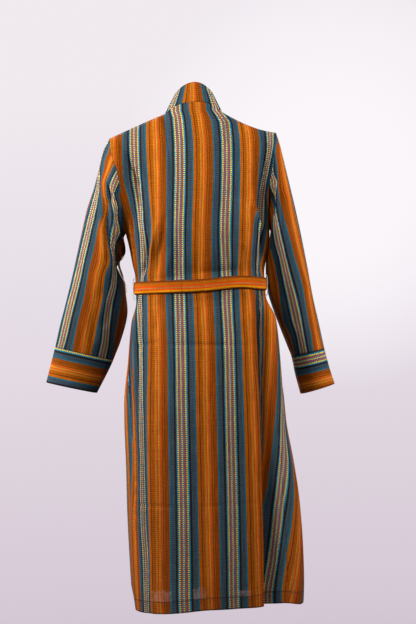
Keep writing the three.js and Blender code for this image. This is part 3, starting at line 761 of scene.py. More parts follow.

# %% [markdown]
# ## The back
#
# The back is one wide panel from the neck and shoulder seams to the hem. The long folds
# come from its section; the smaller ones are given one by one: gathers that the belt draws in,
# a crease beside each armhole where the cloth drops off the shoulder, and the faint level
# creases that are left from folding the robe away.

# %% The back panel's points
UPPER_ROWS = 90
LOWER_ROWS = 222
NECK_COLUMNS = 30
SHOULDER_COLUMNS = 44


def turn_steps(count):
    """Turns over the shoulder, close together at the ridge and at the armpit's height."""
    k = np.linspace(0, 1, count + 1)[:-1]
    return 0.5 * k + 0.5 * np.arccos((1 - k) ** (ARCH_POWER / 2)) / (math.pi / 2)


def half_across(sign):
    neck = NECK_HALF_WIDTH[hand(sign)] / ARMHOLE.columns[hand(sign)][-1]
    round_neck = neck * np.sin(np.linspace(0, math.pi / 2, NECK_COLUMNS + 1)[1:])
    return np.concatenate([round_neck, np.linspace(neck, 1, SHOULDER_COLUMNS + 1)[1:]])


lower_z = np.linspace(ARMPIT_Z, HEM_Z, LOWER_ROWS + 1)
turns = turn_steps(UPPER_ROWS)
across = np.concatenate([-half_across(-1)[::-1], [0], half_across(1)])


def back_row(z):
    seam = np.where(across < 0, SIDE_SEAM.read("right", z), SIDE_SEAM.read("left", z))
    return body_row(across * seam, z)


back_points = np.array(
    [upper_back(across, turn) for turn in turns] + [back_row(z) for z in lower_z]
)
centre = NECK_COLUMNS + SHOULDER_COLUMNS
back_s = measure(back_points, 1)
back_s = back_s - back_s[:, [centre]]
back_v = measure(back_points, 0)
back_v = back_v[[UPPER_ROWS]] - back_v + ARMPIT_Z
print("back across at the hem:", round(back_s[-1, -1] - back_s[-1, 0]), "mm")

# %% The back panel's stripes
SIDE_SHOWN = 0.24  # below the belt the lines reach this much further round the left side
# There a little of the orange is tucked away too, from near to far, and the slate shows.
SIDE_TUCK = Table(["z", "near", "far", "amount"], [
    (-800, 178, 181, 0),
    (-760, 177, 182, 16),
    (-699, 175.5, 183, 20),
    (-640, 173, 188, 21),
    (-555, 170, 205, 25),
    (-480, 166.5, 205, 26),
    (-440, 166, 205, 0),
])
SIDE_STARTS = (-450, -490)
SIDE_STOPS = (-780, -830)

left_x = np.where(back_s > 0, back_points[..., 0], 0)
back_z = back_points[..., 2]
side = (left_x > 0) * smooth(*SIDE_STARTS, back_z) * (1 - smooth(*SIDE_STOPS, back_z))
back_facing = outward(back_points)[..., 1] + SIDE_SHOWN * side
back_u = lines_to_cloth(BACK_LINES, BACK_STRIPES, back_points, back_s, back_facing)
near, far = SIDE_TUCK.read("near", back_z), SIDE_TUCK.read("far", back_z)
tucked_side = smooth(-1, 1, left_x - near) * (1 - smooth(-1, 1, left_x - far))
back_u += SIDE_TUCK.read("amount", back_z) * tucked_side
print("tucked away at the left side: up to", SIDE_TUCK.columns["amount"].max(), "mm")

# %% The back's creases
# Two ends (place round, height), half width, depth, bow, sharpness. Inward is negative.
BACK_CREASES = [
    # beside the armholes, where the cloth drops off the shoulders
    (184, -92, 168, -180, 5, -9, 4, 1.5),
    (172, -130, 158, -262, 9, -8, 6, 1.6),
    (162, -170, 142, -300, 9, 5, 6, 2.0),
    (-176, -60, -160, -200, 8, -7, -4, 1.6),
    (-152, -120, -150, -300, 9, 6, 5, 2.0),
    (-166, -180, -158, -405, 9, -10, -3, 1.6),
    # the gathers above the belt
    (116, -262, 152, -372, 10, 10, -6, 1.6),
    (140, -296, 160, -398, 6, -11, -4, 1.4),
    (98, -250, 118, -408, 9, -7, 5, 1.6),
    (84, -330, 92, -408, 7, 4, 2, 2.0),
    (66, -300, 58, -408, 9, -4, 3, 2.0),
    (24, -345, 24, -408, 9, -3, -2, 2.0),
    (-26, -350, -22, -408, 8, -3, 2, 2.0),
    (-48, -300, -62, -408, 9, -4, 4, 2.0),
    (-92, -330, -88, -408, 9, -5, -4, 2.0),
    (-118, -210, -118, -405, 11, -6, -6, 1.8),
    (152, -404, 40, -398, 7, -3, 2, 1.8),
    (26, -392, -96, -388, 8, -3, 2, 1.8),
    # under the belt
    (112, -440, 118, -540, 8, -4, 0, 2.0),
    (52, -440, 56, -520, 8, -3, 0, 2.0),
    (-40, -440, -44, -530, 8, -3, 0, 2.0),
    (-92, -440, -92, -560, 9, -4, 0, 2.0),
    (166, -446, 178, -760, 8, -7, 4, 1.8),
    (186, -460, 192, -700, 8, 5, 4, 1.8),
    # the sharp edge of the long fold on the right
    (-129, -440, -126, -1230, 5, 6, 0, 2.0),
    (-141, -440, -139, -900, 6, -7, 0, 1.8),
    # long soft waves of the skirt
    (20, -760, 28, -1240, 26, -5, 0, 2.0),
    (136, -660, 140, -1240, 16, 5, 0, 2.0),
    (158, -700, 160, -1240, 9, -6, 0, 1.8),
    (-20, -700, -26, -1240, 22, 4, 0, 2.0),
    (-100, -640, -104, -1240, 20, 5, 0, 2.0),
    # small wrinkles at the left side
    (206, -882, 172, -905, 7, -2, 2, 2.0),
    (206, -925, 176, -930, 7, -2, -3, 2.0),
    (208, -962, 180, -978, 7, -2, 3, 2.0),
    # storage creases
    (190, -566, 108, -556, 3.2, -3.8, 0, 1.2),
    (108, -562, -110, -572, 3.2, -3.6, -1, 1.2),
    (216, -944, 60, -950, 3.0, -2.2, 0, 1.2),
    (50, -950, -130, -946, 3.0, -1.3, 0, 1.2),
    (110, -752, -110, -748, 2.2, -0.8, 0, 1.4),
]
back_points = back_points + outward(back_points) * creased(
    back_s, back_points[..., 2], BACK_CREASES
)[..., None]

# Below the belt the cloth right of the long fold's edge is tucked in under it.
TUCK = 11
TUCK_STARTS = (129, 137)  # lengths out to the right
TUCK_STOPS = (146, 176)
TUCK_HEIGHTS = (-440, -500)
out_right = -back_s
tucked = smooth(*TUCK_STARTS, out_right) * (1 - smooth(*TUCK_STOPS, out_right))
back_points[..., 0] += TUCK * tucked * smooth(*TUCK_HEIGHTS, back_points[..., 2])
back = cloth_piece("back", back_points, np.stack([back_u, back_v], axis=-1), hemmed=True)

# %% [markdown]
# ## The two fronts
#
# A front is a straight panel from the shoulder to the hem. Its stripes lie square to the front
# edge, so they lean a little against the side seam. The belt gathers it at the waist, where
# more cloth than length goes round. On this robe the right side seam lies well behind the
# side, so a wide strip of the right front shows from behind with its stripes fanned out.

# %% Sizes of the two fronts
FRONT_COLUMNS = 76
RIDGE_ROWS = 4
# What is added to the length round to get the place on the flat cloth, and how much more
# cloth than length there is, since the belt gathers it.
FRONT_PLACE = Table(["z", "left", "right", "gather"], [
    (-1200, -203, 152, 1.0),
    (-1130, -217, 140, 1.0),
    (-900, -228, 101, 1.04),
    (-694, -236, 66, 1.12),
    (-500, -252, 28, 1.25),
    (-425, -264, 0, 1.3),
    (-300, -264, 0, 1.08),
    (-150, -264, 0, 1.0),
])
# Beside its seam the right front's stripes show wider: over EDGE_SPAN they run at this rate.
EDGE_RATE = Table(["z", "rate"], [
    (-1200, 0.38),
    (-1100, 0.45),
    (-960, 0.5),
    (-880, 0.5),
    (-800, 0.65),
    (-700, 0.8),
    (-600, 1.0),
])
EDGE_SPAN = 90
CHEST_X = 110  # above the waist the stripe here runs straight up to the shoulder
CHEST_PLACE = {"left": 85, "right": 360}
CHEST_FROM = (-470, -400)
FRONT_CREASES = [
    (110, -60, 60, -330, 10, -4, 8, 2.0),
    (205, -300, 245, -405, 10, -5, -4, 2.0),
    (330, -300, 360, -405, 11, -5, 3, 2.0),
    (420, -310, 430, -405, 10, -4, 3, 2.0),
    (250, -445, 262, -700, 12, -5, 4, 2.0),
    (360, -445, 372, -760, 14, -5, -4, 2.0),
    (440, -445, 446, -640, 12, -4, 3, 2.0),
    (390, -620, 400, -1240, 28, 5, 0, 2.0),
    (280, -560, 292, -1240, 20, 5, 0, 2.0),
]
SEAM_FLAT = 60  # creases fade out over this length beside a front's two long edges
print("creases on each front:", len(FRONT_CREASES))


# %% The two fronts
def front_rows(sign, place):
    upper = [upper_front(sign, place, turn) for turn in turns]
    seam = upper_front(sign, place, -1)
    over = [mix(seam, upper[0], f) for f in np.linspace(0, 1, RIDGE_ROWS + 1)[:-1]]
    return np.array(over + upper + [front_low(sign, place, z) for z in lower_z])


def front_panel(sign):
    place = np.linspace(0, 1, FRONT_COLUMNS + 1)
    points = front_rows(sign, place[::-1] if sign > 0 else place)
    run = measure(points, 1)
    seam_column = 0 if sign > 0 else -1
    away = np.abs(run - run[:, [seam_column]])
    s = SIDE_SEAM.read(hand(sign), np.minimum(points[..., 2], ARMPIT_Z)) + away
    v = measure(points, 0)
    v = v[[UPPER_ROWS + RIDGE_ROWS]] - v + ARMPIT_Z
    depth = creased(s, points[..., 2], FRONT_CREASES)
    to_edge = away.max(axis=1, keepdims=True) - away
    depth *= smooth(0, SEAM_FLAT, away) * smooth(0, SEAM_FLAT, to_edge)
    points = points + outward(points) * depth[..., None]
    z = points[..., 2]
    run = s + away * (FRONT_PLACE.read("gather", z) - 1)
    skirt = run + FRONT_PLACE.read(hand(sign), z)
    if sign < 0:
        skirt -= (1 - EDGE_RATE.read("rate", z)) * np.minimum(away, EDGE_SPAN)
    chest = run + CHEST_PLACE[hand(sign)]
    for row, x in enumerate(points[..., 0] * sign):
        order = np.argsort(x)
        chest[row] -= np.interp(CHEST_X, x[order], run[row, order])
    u = mix(skirt, chest, smooth(*CHEST_FROM, z))
    uv = np.stack([sign * u, v], axis=-1)
    return cloth_piece("front_" + hand(sign), points, uv, hemmed=True)


front_left = front_panel(1)
front_right = front_panel(-1)

# %% [markdown]
# ## The neckband
#
# The band is a folded strip, so it is shown twice as thick. It stands round the back of the
# neck with the stripes upright, is pieced at the shoulders, and goes down both front edges
# to the hem with the stripes crosswise. A strip swept along a curve would do too, but rows
# from the fronts' own edges keep the seam closed all the way down.

# %% The neckband's three lengths
BAND_ACROSS = 12
BAND = 2.0  # two layers of cloth
STAND_COLUMNS = 96
STAND_STRETCH = 1.1  # cloth eased into the length of the stand
STAND_SHIFT = -4.7  # place on the flat cloth at the centre back
BAND_SHIFT = 66  # and where a front's band starts

stand_angle = np.linspace(-math.pi / 2, math.pi / 2, STAND_COLUMNS + 1)
stand_across = np.linspace(1, 0, BAND_ACROSS + 1)
stand_points = np.array([back_stand(stand_angle, f) for f in stand_across])
stand_s = measure(stand_points, 1)
stand_s = (stand_s - stand_s[:, [STAND_COLUMNS // 2]])[[BAND_ACROSS // 2]]
stand_u = np.broadcast_to(stand_s * STAND_STRETCH + STAND_SHIFT, stand_points.shape[:2])
stand_v = np.broadcast_to((stand_across * BAND_WIDTH)[:, None], stand_points.shape[:2])
neckband_back = cloth_piece(
    "neckband_back", stand_points, np.stack([stand_u, stand_v], axis=-1), BAND
)


def front_band(sign):
    place = np.linspace(0, 1, BAND_ACROSS + 1)
    place = place if sign > 0 else place[::-1]
    upper = [band_row(sign, place, turn=turn) for turn in turns]
    seam = band_row(sign, place, turn=-1)
    over = [mix(seam, upper[0], f) for f in np.linspace(0, 1, RIDGE_ROWS + 1)[:-1]]
    lower = [band_row(sign, place, z=z) for z in lower_z]
    points = np.array(over + upper + lower)
    along = measure(points, 0)[:, [BAND_ACROSS // 2]] * np.ones((1, BAND_ACROSS + 1))
    sideways = np.broadcast_to(place * BAND_WIDTH, points.shape[:2])
    uv = np.stack([along + BAND_SHIFT, sideways], axis=-1)
    return cloth_piece("neckband_" + hand(sign), points, uv, BAND)


neckband_left = front_band(1)
neckband_right = front_band(-1)

# %% [markdown]
# ## The sleeves' cloth
#
# The rings are joined by a smooth line through each of their points. On the back half the
# stripes follow the table of lines, on the front half they go on round the sleeve by length.
# Short deep creases at the elbow and the armpit show that the arm fills only part of it.

# %% From rings to a sleeve
AROUND_COUNT = 44
ALONG_STEPS = 170


def through(rows, at, wanted):
    """A smooth line through rows of points, read at other places."""
    slopes = np.gradient(rows, at, axis=0)
    k = np.clip(np.searchsorted(at, wanted) - 1, 0, len(at) - 2)
    span = (at[k + 1] - at[k])[:, None, None]
    f = ((wanted - at[k]) / (at[k + 1] - at[k]))[:, None, None]
    rise = f * f * (3 - 2 * f)
    bend = slopes[k] * f * (1 - f) ** 2 - slopes[k + 1] * f * f * (1 - f)
    return rows[k] + (rows[k + 1] - rows[k]) * rise + span * bend


EVEN_ROWS = 36  # the front half's stripes start from a place evened out over these rows
EVEN = np.hanning(2 * EVEN_ROWS + 3)[1:-1]
EVEN /= EVEN.sum()
EVEN_OVER = 90


def sleeve(sign, lines, stripes, creases):
    loop, angle = armhole_and_angles(sign, AROUND_COUNT)
    rings = [loop] + [sleeve_ring(sign, row, angle) for row in range(1, CUFF_ROW + 1)]
    at = np.arange(len(rings), dtype=float)
    points = through(np.array(rings), at, np.linspace(0, CUFF_ROW, ALONG_STEPS + 1))
    around = measure(points, 1)
    top = int(np.argmin(np.abs(angle - math.pi)))
    from_edge = around - around[:, [top]]
    facing = outward(points, closed=True) * sign
    half = slice(None, top + 3)  # the back half and the two points over the ridge
    seen = lines_to_cloth(
        lines, stripes, points[:, half], from_edge[:, half], facing[:, half, 1]
    )
    over = from_edge - from_edge[:, [top + 2]]
    start = seen[:, -1]
    even = np.convolve(np.pad(start, EVEN_ROWS, mode="edge"), EVEN, mode="valid")
    u = start[:, None] - sign * over + (even - start)[:, None] * smooth(0, EVEN_OVER, over)
    u[:, half] = seen
    v = measure(points, 0)
    depth = creased(points[..., 0], points[..., 2], creases) * (np.sin(angle) > 0)
    points = points + facing * depth[..., None] * np.clip(np.sin(angle) * 2, 0, 1)[None, :, None]
    print("sleeve", hand(sign), "is", round(v[-1, top]), "mm long at the top")
    return points, np.stack([u, -v], axis=-1), angle


# %% The sleeves and their creases
LEFT_SLEEVE_CREASES = [
    (216, -190, 224, -330, 5, -7, 3, 1.4),
    (220, -166, 209, -226, 4, -9, -2, 1.4),
    (186, -302, 189, -344, 6, -12, 0, 1.6),
    (232, -160, 232, -350, 8, 5, 4, 2.0),
    (200, -215, 210, -300, 5, 5, 4, 1.8),
    (194, -290, 196, -380, 8, -9, 3, 1.8),
    (213, -290, 224, -400, 7, 4, -6, 2.0),
    (214, -440, 246, -520, 8, -4, 0, 2.0),
    (250, -420, 276, -560, 12, -3, 4, 2.0),
]
RIGHT_SLEEVE_CREASES = [
    (-194, -120, -199, -300, 5, -6, -3, 1.4),
    (-206, -130, -214, -320, 8, 4, -3, 2.0),
    (-176, -200, -182, -262, 6, -9, 0, 1.8),
    (-186, -230, -188, -330, 5, 4, 0, 1.8),
    (-176, -330, -196, -470, 8, -5, 4, 2.0),
    (-205, -400, -232, -540, 9, -3, 4, 2.0),
]
left_points, left_uv, ring_angle = sleeve(1, LEFT_LINES, LEFT_STRIPES, LEFT_SLEEVE_CREASES)
right_points, right_uv, _ = sleeve(-1, RIGHT_LINES, RIGHT_STRIPES, RIGHT_SLEEVE_CREASES)
sleeve_left = cloth_piece("sleeve_left", left_points, left_uv)
sleeve_right = cloth_piece("sleeve_right", right_points, right_uv)

# %% [markdown]
# ## The cuffs
#
# A cuff is a doubled band, cut with its stripes going round the wrist. It has the same rings
# as the sleeve, so it runs on from the sleeve's end, and the thicker wall shows it is doubled.

# %% The cuffs
CUFF = 1.6  # a doubled cuff's thickness
CUFF_STEPS = 34
CUFF_TOP = {"left": -50.5, "right": -75.5}  # place on the flat cloth at the cuff's seam


def cuff(sign):
    rows = np.linspace(CUFF_ROW, SLEEVE["left"].keys[-1], CUFF_STEPS + 1)
    points = np.array([sleeve_ring(sign, row, ring_angle) for row in rows])
    down = measure(points, 0)
    u = CUFF_TOP[hand(sign)] + down
    v = measure(points, 1)
    return cloth_piece("cuff_" + hand(sign), points, np.stack([u, v], axis=-1), CUFF)


cuff_left = cuff(1)
cuff_right = cuff(-1)

# %% [markdown]
# ## The belt
#
# The belt is a flat tube of the same cloth cut lengthwise, so its stripes run round the body.
# It goes once round the waist over the gathers and is tied in front, and its two ends hang
# from the knot. A band swept round the body by a curve would sink into the gathers, so its
# rows are the body's own line, lifted off by the cloth that lies under it.

# %% The belt
BELT_LIFT = 3.4
BELT_LAYER = 2.0
BELT_COLUMNS = 360
BELT_ACROSS = 14
BELT_RISE = {"high": 6, "at": -80, "half": 60}  # where it rides up a little at the back
BELT_OFFSET = 0.8
BELT_CROWN = 0.006  # how far its middle stands proud, as a share of its distance out


def belt_z(s):
    rise = BELT_RISE["high"] * np.exp(-(((s - BELT_RISE["at"]) / BELT_RISE["half"]) ** 2))
    return BELT_Z + rise + BELT_OFFSET


total = section(BELT_Z)[2][-1]
belt_s = np.linspace(0, total, BELT_COLUMNS + 1)
belt_flat = body_row(belt_s, BELT_Z)
belt_layer = np.where(belt_flat[:, 1] < 0, front_lift(1, np.abs(belt_flat[:, 0]), BELT_Z), 0)
belt_ring = body_row(belt_s, BELT_Z, BELT_LIFT + belt_layer, folded=False)
belt_place = np.where(belt_s > total / 2, belt_s - total, belt_s)
belt_f = np.linspace(0.5, -0.5, BELT_ACROSS + 1)
belt_points = np.repeat(belt_ring[None], BELT_ACROSS + 1, axis=0)
belt_points[..., 2] = belt_z(belt_place)[None] + belt_f[:, None] * BELT_WIDTH
rounded = 1.0 - 2.2 * np.abs(belt_f * 2) ** 6
belt_points[..., :2] *= 1 + BELT_CROWN * rounded[:, None, None]
belt_u = np.broadcast_to(((0.5 - belt_f) * BELT_WIDTH)[:, None], belt_points.shape[:2])
belt_v = np.broadcast_to(belt_s[None], belt_points.shape[:2])
belt = cloth_piece(
    "belt", belt_points, np.stack([belt_u, belt_v], axis=-1), BELT_LAYER
)
print("belt:", round(total), "mm round")

# %% The belt's two ends
KNOT = {"x": 8, "z": BELT_Z - 1.5, "half_width": 24, "half_depth": 11, "half_height": 23}
TAIL_ROWS = 120
TAIL_LIFT = FRONT_LAP + 3
TAIL_TOP = KNOT["z"] - KNOT["half_height"] - 0.5
TAIL_SWAY = 2.0  # how far an edge swings out and in on its way down
TAIL_SWINGS = 7.0
TAIL_CUP = 2.5  # how far both edges stand off under the knot
# Name, place across at the top, how much further across its foot hangs, and length.
TAILS = [("belt_end_left", 24, 26, 330), ("belt_end_right", -9, -12, 296)]

tails = []
for tail_name, tail_x, spread, length in TAILS:
    down = np.linspace(0, 1, TAIL_ROWS + 1)
    over = np.linspace(0.5, -0.5, BELT_ACROSS + 1)
    rows = []
    for f in down:
        z = TAIL_TOP - length * f
        place = tail_x + spread * f + over * BELT_WIDTH
        sway = TAIL_SWAY * np.sin(f * TAIL_SWINGS + tail_x) * (over * 2) * f
        curl = sway + TAIL_CUP * (over * 2) ** 2 * (1 - f)
        rows.append(body_row(length_at(place, z), z, TAIL_LIFT + curl))
    points = np.array(rows)
    u = np.broadcast_to(((0.5 - over) * BELT_WIDTH)[None], points.shape[:2])
    v = np.broadcast_to((down * length)[:, None], points.shape[:2])
    tails.append(cloth_piece(
        tail_name, points, np.stack([u, v], axis=-1), BELT_LAYER
    ))

# %% [markdown]
# The knot is a flat overhand knot: a wide wrap of the belt over the crossing, with folds that
# run to the upper and lower ends. A real crossing of two strips is hidden under that wrap, so
# one closed form with slanting ridges shows the same. It starts from Blender's own sphere,
# which is squared and pinched point by point.

# %% The knot
KNOT_STEPS = 40
KNOT_POWER = 3
KNOT_RIDGES = 0.05
KNOT_RIDGE_RATE = 7.0
KNOT_SLANT = 0.5
KNOT_PINCH = 0.16
knot_front = body_row(length_at(KNOT["x"], BELT_Z), BELT_Z, BELT_LIFT + FRONT_LAP + 1.2)
bm = bmesh.new()
bmesh.ops.create_uvsphere(bm, u_segments=64, v_segments=KNOT_STEPS, radius=1)
knot_mesh = bpy.data.meshes.new("belt_knot")
knot_uv = bm.loops.layers.uv.new("cloth")
for vertex in bm.verts:
    x, y, z = vertex.co
    size = sum(abs(side) ** KNOT_POWER for side in (x, y, z)) ** (1 / KNOT_POWER)
    x, y, z = x / size, y / size, z / size
    slant = x * KNOT_SLANT + z
    ridge = 1.0 + KNOT_RIDGES * math.cos(slant * KNOT_RIDGE_RATE) * (1 - 0.5 * abs(x))
    pinch = 1.0 - KNOT_PINCH * z * z
    vertex.co = Vector((
        KNOT["x"] + x * KNOT["half_width"] * ridge * pinch,
        knot_front[1] - KNOT["half_depth"] - SEAM_GAP + y * KNOT["half_depth"] * ridge,
        KNOT["z"] + z * KNOT["half_height"] * (0.93 + 0.05 * math.cos(x * 5)),
    )) * MM
for face in bm.faces:
    face.smooth = True
    for loop in face.loops:
        place = loop.vert.co / MM
        loop[knot_uv].uv = (
            (BELT_WIDTH * 0.5 + (place.z - BELT_Z) * 0.62 - (place.x - KNOT["x"]) * 0.3) * MM,
            (place.x + place.z) * MM,
        )
bm.to_mesh(knot_mesh)
bm.free()
belt_knot = add_piece("belt_knot_cloth", knot_mesh, "belt_knot")
print("knot:", 2 * KNOT["half_width"], "x", 2 * KNOT["half_height"], "mm")

# %% [markdown]
# ## The threads
#
# A chained loop of pale thread at each side seam keeps the belt up. It is two strands twisted
# round each other, from above the belt to below it, standing a little off the cloth. A curve
# with a round bevel would give one smooth cord; rings turned about a path give the twist.

# %% A strand of thread and the piece made from strands
THREAD_RINGS = 90


def strand(path, radius, twist_radius, turns_count, phase, sides=6):
    """Rings of a strand twisted round a path."""
    tangent = np.gradient(path, axis=0)
    tangent /= np.linalg.norm(tangent, axis=1, keepdims=True)
    side_way = np.cross(tangent, np.array([0.0, 1.0, 0.0]))
    side_way /= np.linalg.norm(side_way, axis=1, keepdims=True)
    other = np.cross(tangent, side_way)
    angle = np.linspace(0, 2 * np.pi * turns_count, len(path)) + phase
    middle = path + twist_radius * (
        np.cos(angle)[:, None] * side_way + np.sin(angle)[:, None] * other
    )
    ring = np.linspace(0, 2 * np.pi, sides + 1)[:-1]
    return (
        middle[:, None]
        + radius * np.cos(ring)[None, :, None] * side_way[:, None]
        + radius * np.sin(ring)[None, :, None] * other[:, None]
    )


def thread_piece(name, strands, replaces=None):
    bm = bmesh.new()
    for rings in strands:
        made = [[bm.verts.new(Vector(p) * MM) for p in ring] for ring in rings]
        for one, two in zip(made, made[1:]):
            for k in range(len(one)):
                n = (k + 1) % len(one)
                bm.faces.new((one[k], one[n], two[n], two[k])).smooth = True
        bm.faces.new(made[0][::-1])
        bm.faces.new(made[-1])
    mesh = bpy.data.meshes.new(name)
    bm.to_mesh(mesh)
    bm.free()
    print(name, len(mesh.vertices), "points")
    return add_piece(name + "_thread", mesh, replaces)


def twisted(stops, radius, twist_radius, turns_count):
    """Two strands round each other on a smooth path through the stops."""
    last = len(stops) - 1.0
    path = through(stops[:, None], np.arange(last + 1), np.linspace(0, last, THREAD_RINGS))[:, 0]
    return [strand(path, radius, twist_radius, turns_count, phase) for phase in (0, math.pi)]


# %% The two belt loops
LOOP_TOP, LOOP_FOOT = -399, -452
LOOP_SEWN = 2.7  # how far off the body's line its ends are sewn down
LOOP_HIGH = BELT_LIFT + 1.2 + 1.7
LOOP_BEFORE_SEAM = 3
LOOP_THREAD = (0.65, 0.55, 11)  # a strand's radius, the twist's radius and its turns
LOOP_ROUTE = [
    (LOOP_TOP, LOOP_SEWN), (LOOP_TOP - 5, LOOP_HIGH), (BELT_Z, LOOP_HIGH + 0.6),
    (LOOP_FOOT + 5, LOOP_HIGH), (LOOP_FOOT, LOOP_SEWN),
]

thread_pieces = []
for sign in (1, -1):
    s = sign * (float(SIDE_SEAM.read(hand(sign), BELT_Z)) - LOOP_BEFORE_SEAM)
    stops = []
    for z, lift in LOOP_ROUTE:
        point = body_row(np.array([s]), BELT_Z, lift, folded=False)[0]
        stops.append((point[0], point[1], z))
    strands = twisted(np.array(stops, float), *LOOP_THREAD)
    loop_name = "belt_loop_" + hand(sign)
    thread_pieces.append(thread_piece(loop_name, strands, loop_name))

# %% [markdown]
# The seam allowances inside a robe like this are overlocked with pale thread. Where a sleeve
# turns out at the seam, a little of that thread shows at its edge. It lies on the cloth, so
# its stops are looked up on the sleeve's own grid of points.

# %% The overlocking thread at the sleeves
FACES_BACK = -0.2  # how far a point may face forward and still count as the back
OVERLOCK_LIFT = 1.4
OVERLOCK_THREAD = (0.9, 0.8, 14)


def on_cloth(grid, places, lift):
    """Points lifted off the back of a piece of cloth, at the given places across and up."""
    flat = grid.reshape(-1, 3)
    normals = outward(grid).reshape(-1, 3)
    seen = normals[:, 1] > FACES_BACK
    flat, normals = flat[seen], normals[seen]
    found = []
    for x, z in places:
        near = np.argmin((flat[:, 0] - x) ** 2 + (flat[:, 2] - z) ** 2)
        found.append(flat[near] + normals[near] * lift + np.array([0, lift, 0]))
    return np.array(found)


# The sleeve and the places across and up that the thread passes.
OVERLOCK = [
    ("left", left_points, [(188, -344), (197, -346), (205, -356), (203, -370), (198, -390),
                           (192, -412), (187, -434)]),
    ("right", right_points, [(-211, -560), (-214, -580), (-217, -598)]),
]
for side_name, grid, places in OVERLOCK:
    strands = twisted(on_cloth(grid, places, OVERLOCK_LIFT), *OVERLOCK_THREAD)
    thread_pieces.append(thread_piece("overlock_" + side_name, strands))

# %% [markdown]
# ## The finish
#
# One material serves all the striped cloth. The stripes are a chart of the repeat, read at
# the cloth's own place across. Two charts are mixed by a small square wave along the cloth:
# the second shows what lies between the dashes of the yellow and red lines. Over that come
# the small unevenness of hand-spun yarn, which lightens and darkens thin lines along the
# warp and the weft, and a fine weave in the bump.

# %% A short way to write shader maths
class Value:
    """A socket with arithmetic. Each sum makes one node in its material."""

    def __init__(self, paint, socket):
        self.paint = paint
        self.socket = socket

    def __add__(self, other):
        return self.paint.math("ADD", self, other)

    def __sub__(self, other):
        return self.paint.math("SUBTRACT", self, other)

    def __mul__(self, other):
        return self.paint.math("MULTIPLY", self, other)

    def __truediv__(self, other):
        return self.paint.math("DIVIDE", self, other)

    def __rsub__(self, other):
        return self.paint.math("SUBTRACT", other, self)

    __radd__ = __add__
    __rmul__ = __mul__


print("sums that make a node: + - * /")


# %% A short way to add nodes
class Nodes:
    """A node tree, and a short way to add nodes to it."""

    def __init__(self, tree):
        self.tree = tree

    def put(self, socket, value):
        if isinstance(value, Value):
            self.tree.links.new(value.socket, socket)
        else:
            socket.default_value = value

    def node(self, kind, settings, inputs, *outputs):
        """A node by its type, its settings and its inputs. More than one output is a list."""
        made = self.tree.nodes.new(kind)
        for name, value in settings.items():
            if name == "stops":
                self.set_stops(made.color_ramp, value)
            else:
                setattr(made, name, value)
        for name, value in inputs.items():
            self.put(made.inputs[name], value)
        values = [Value(self, made.outputs[name]) for name in outputs or (0,)]
        return values if len(values) > 1 else values[0]

    def set_stops(self, ramp, stops):
        ramp.elements.remove(ramp.elements[1])
        ramp.elements[0].position, ramp.elements[0].color = stops[0]
        for position, tint in stops[1:]:
            ramp.elements.new(position).color = tint

    def math(self, operation, *values):
        inputs = dict(enumerate(values))
        return self.node("ShaderNodeMath", {"operation": operation}, inputs)

    def wrap(self, value):
        """What is left of a value past its last whole number."""
        return self.math("WRAP", value, 1.0, 0.0)

    def mix(self, factor, a, b, blend="MIX"):
        settings = {"data_type": "RGBA", "blend_type": blend}
        return self.node("ShaderNodeMix", settings, {0: factor, 6: a, 7: b}, 2)

    def noise(self, place, scale, detail=2.0):
        inputs = {"Vector": place, "Scale": scale, "Detail": detail}
        return self.node("ShaderNodeTexNoise", {}, inputs)

    def between(self, value, low, high, to_low=0.0, to_high=1.0):
        names = ("Value", "From Min", "From Max", "To Min", "To Max")
        inputs = dict(zip(names, (value, low, high, to_low, to_high)))
        return self.node("ShaderNodeMapRange", {"clamp": True}, inputs)

    def ramp(self, place, stops):
        return self.node("ShaderNodeValToRGB", {"stops": stops}, {0: place})

    def chart(self, place, stops):
        """A ramp of bands with hard edges: each stop is where its colour starts."""
        made = self.ramp(place, stops)
        made.socket.node.color_ramp.interpolation = "CONSTANT"
        return made


# %% A material, and colours as the eye sees them
class Paint(Nodes):
    """One material, its Principled shader and the nodes in front of it."""

    def __init__(self, name):
        self.material = bpy.data.materials.new(name)
        self.material.use_nodes = True
        super().__init__(self.material.node_tree)
        self.tree.nodes.clear()
        self.shader = self.tree.nodes.new("ShaderNodeBsdfPrincipled")
        output = self.tree.nodes.new("ShaderNodeOutputMaterial")
        self.tree.links.new(self.shader.outputs[0], output.inputs[0])


def colour(red, green, blue):
    """A colour from 0 to 255 as the eye sees it, turned into light."""
    def light(c):
        c = c / 255
        return c / 12.92 if c <= 0.04045 else ((c + 0.055) / 1.055) ** 2.4

    return (light(red), light(green), light(blue), 1.0)


print("a middle grey as light:", round(colour(128, 128, 128)[0], 3))

# %% The chart of the stripes
# Widths in millimetres from one orange band's middle to the next, with the colour of each
# band on the dashes and between them.
ORANGE = colour(101, 48, 0)
ORANGE_DARK = colour(78, 33, 0)
BROWN = colour(55, 22, 1)
AMBER = colour(121, 75, 0)
LILAC = colour(92, 62, 27)
EMBER = colour(120, 36, 0)
TEAL = colour(14, 51, 62)
SLATE = colour(32, 41, 49)
SLATE_BLUE = colour(19, 31, 41)
MAROON = colour(17, 12, 12)
SKY = colour(3, 68, 91)
YELLOW = colour(148, 125, 23)
YELLOW_GAP = colour(33, 44, 43)
PLUM = colour(38, 49, 59)
RED = colour(108, 39, 33)
RED_GAP = colour(53, 32, 46)

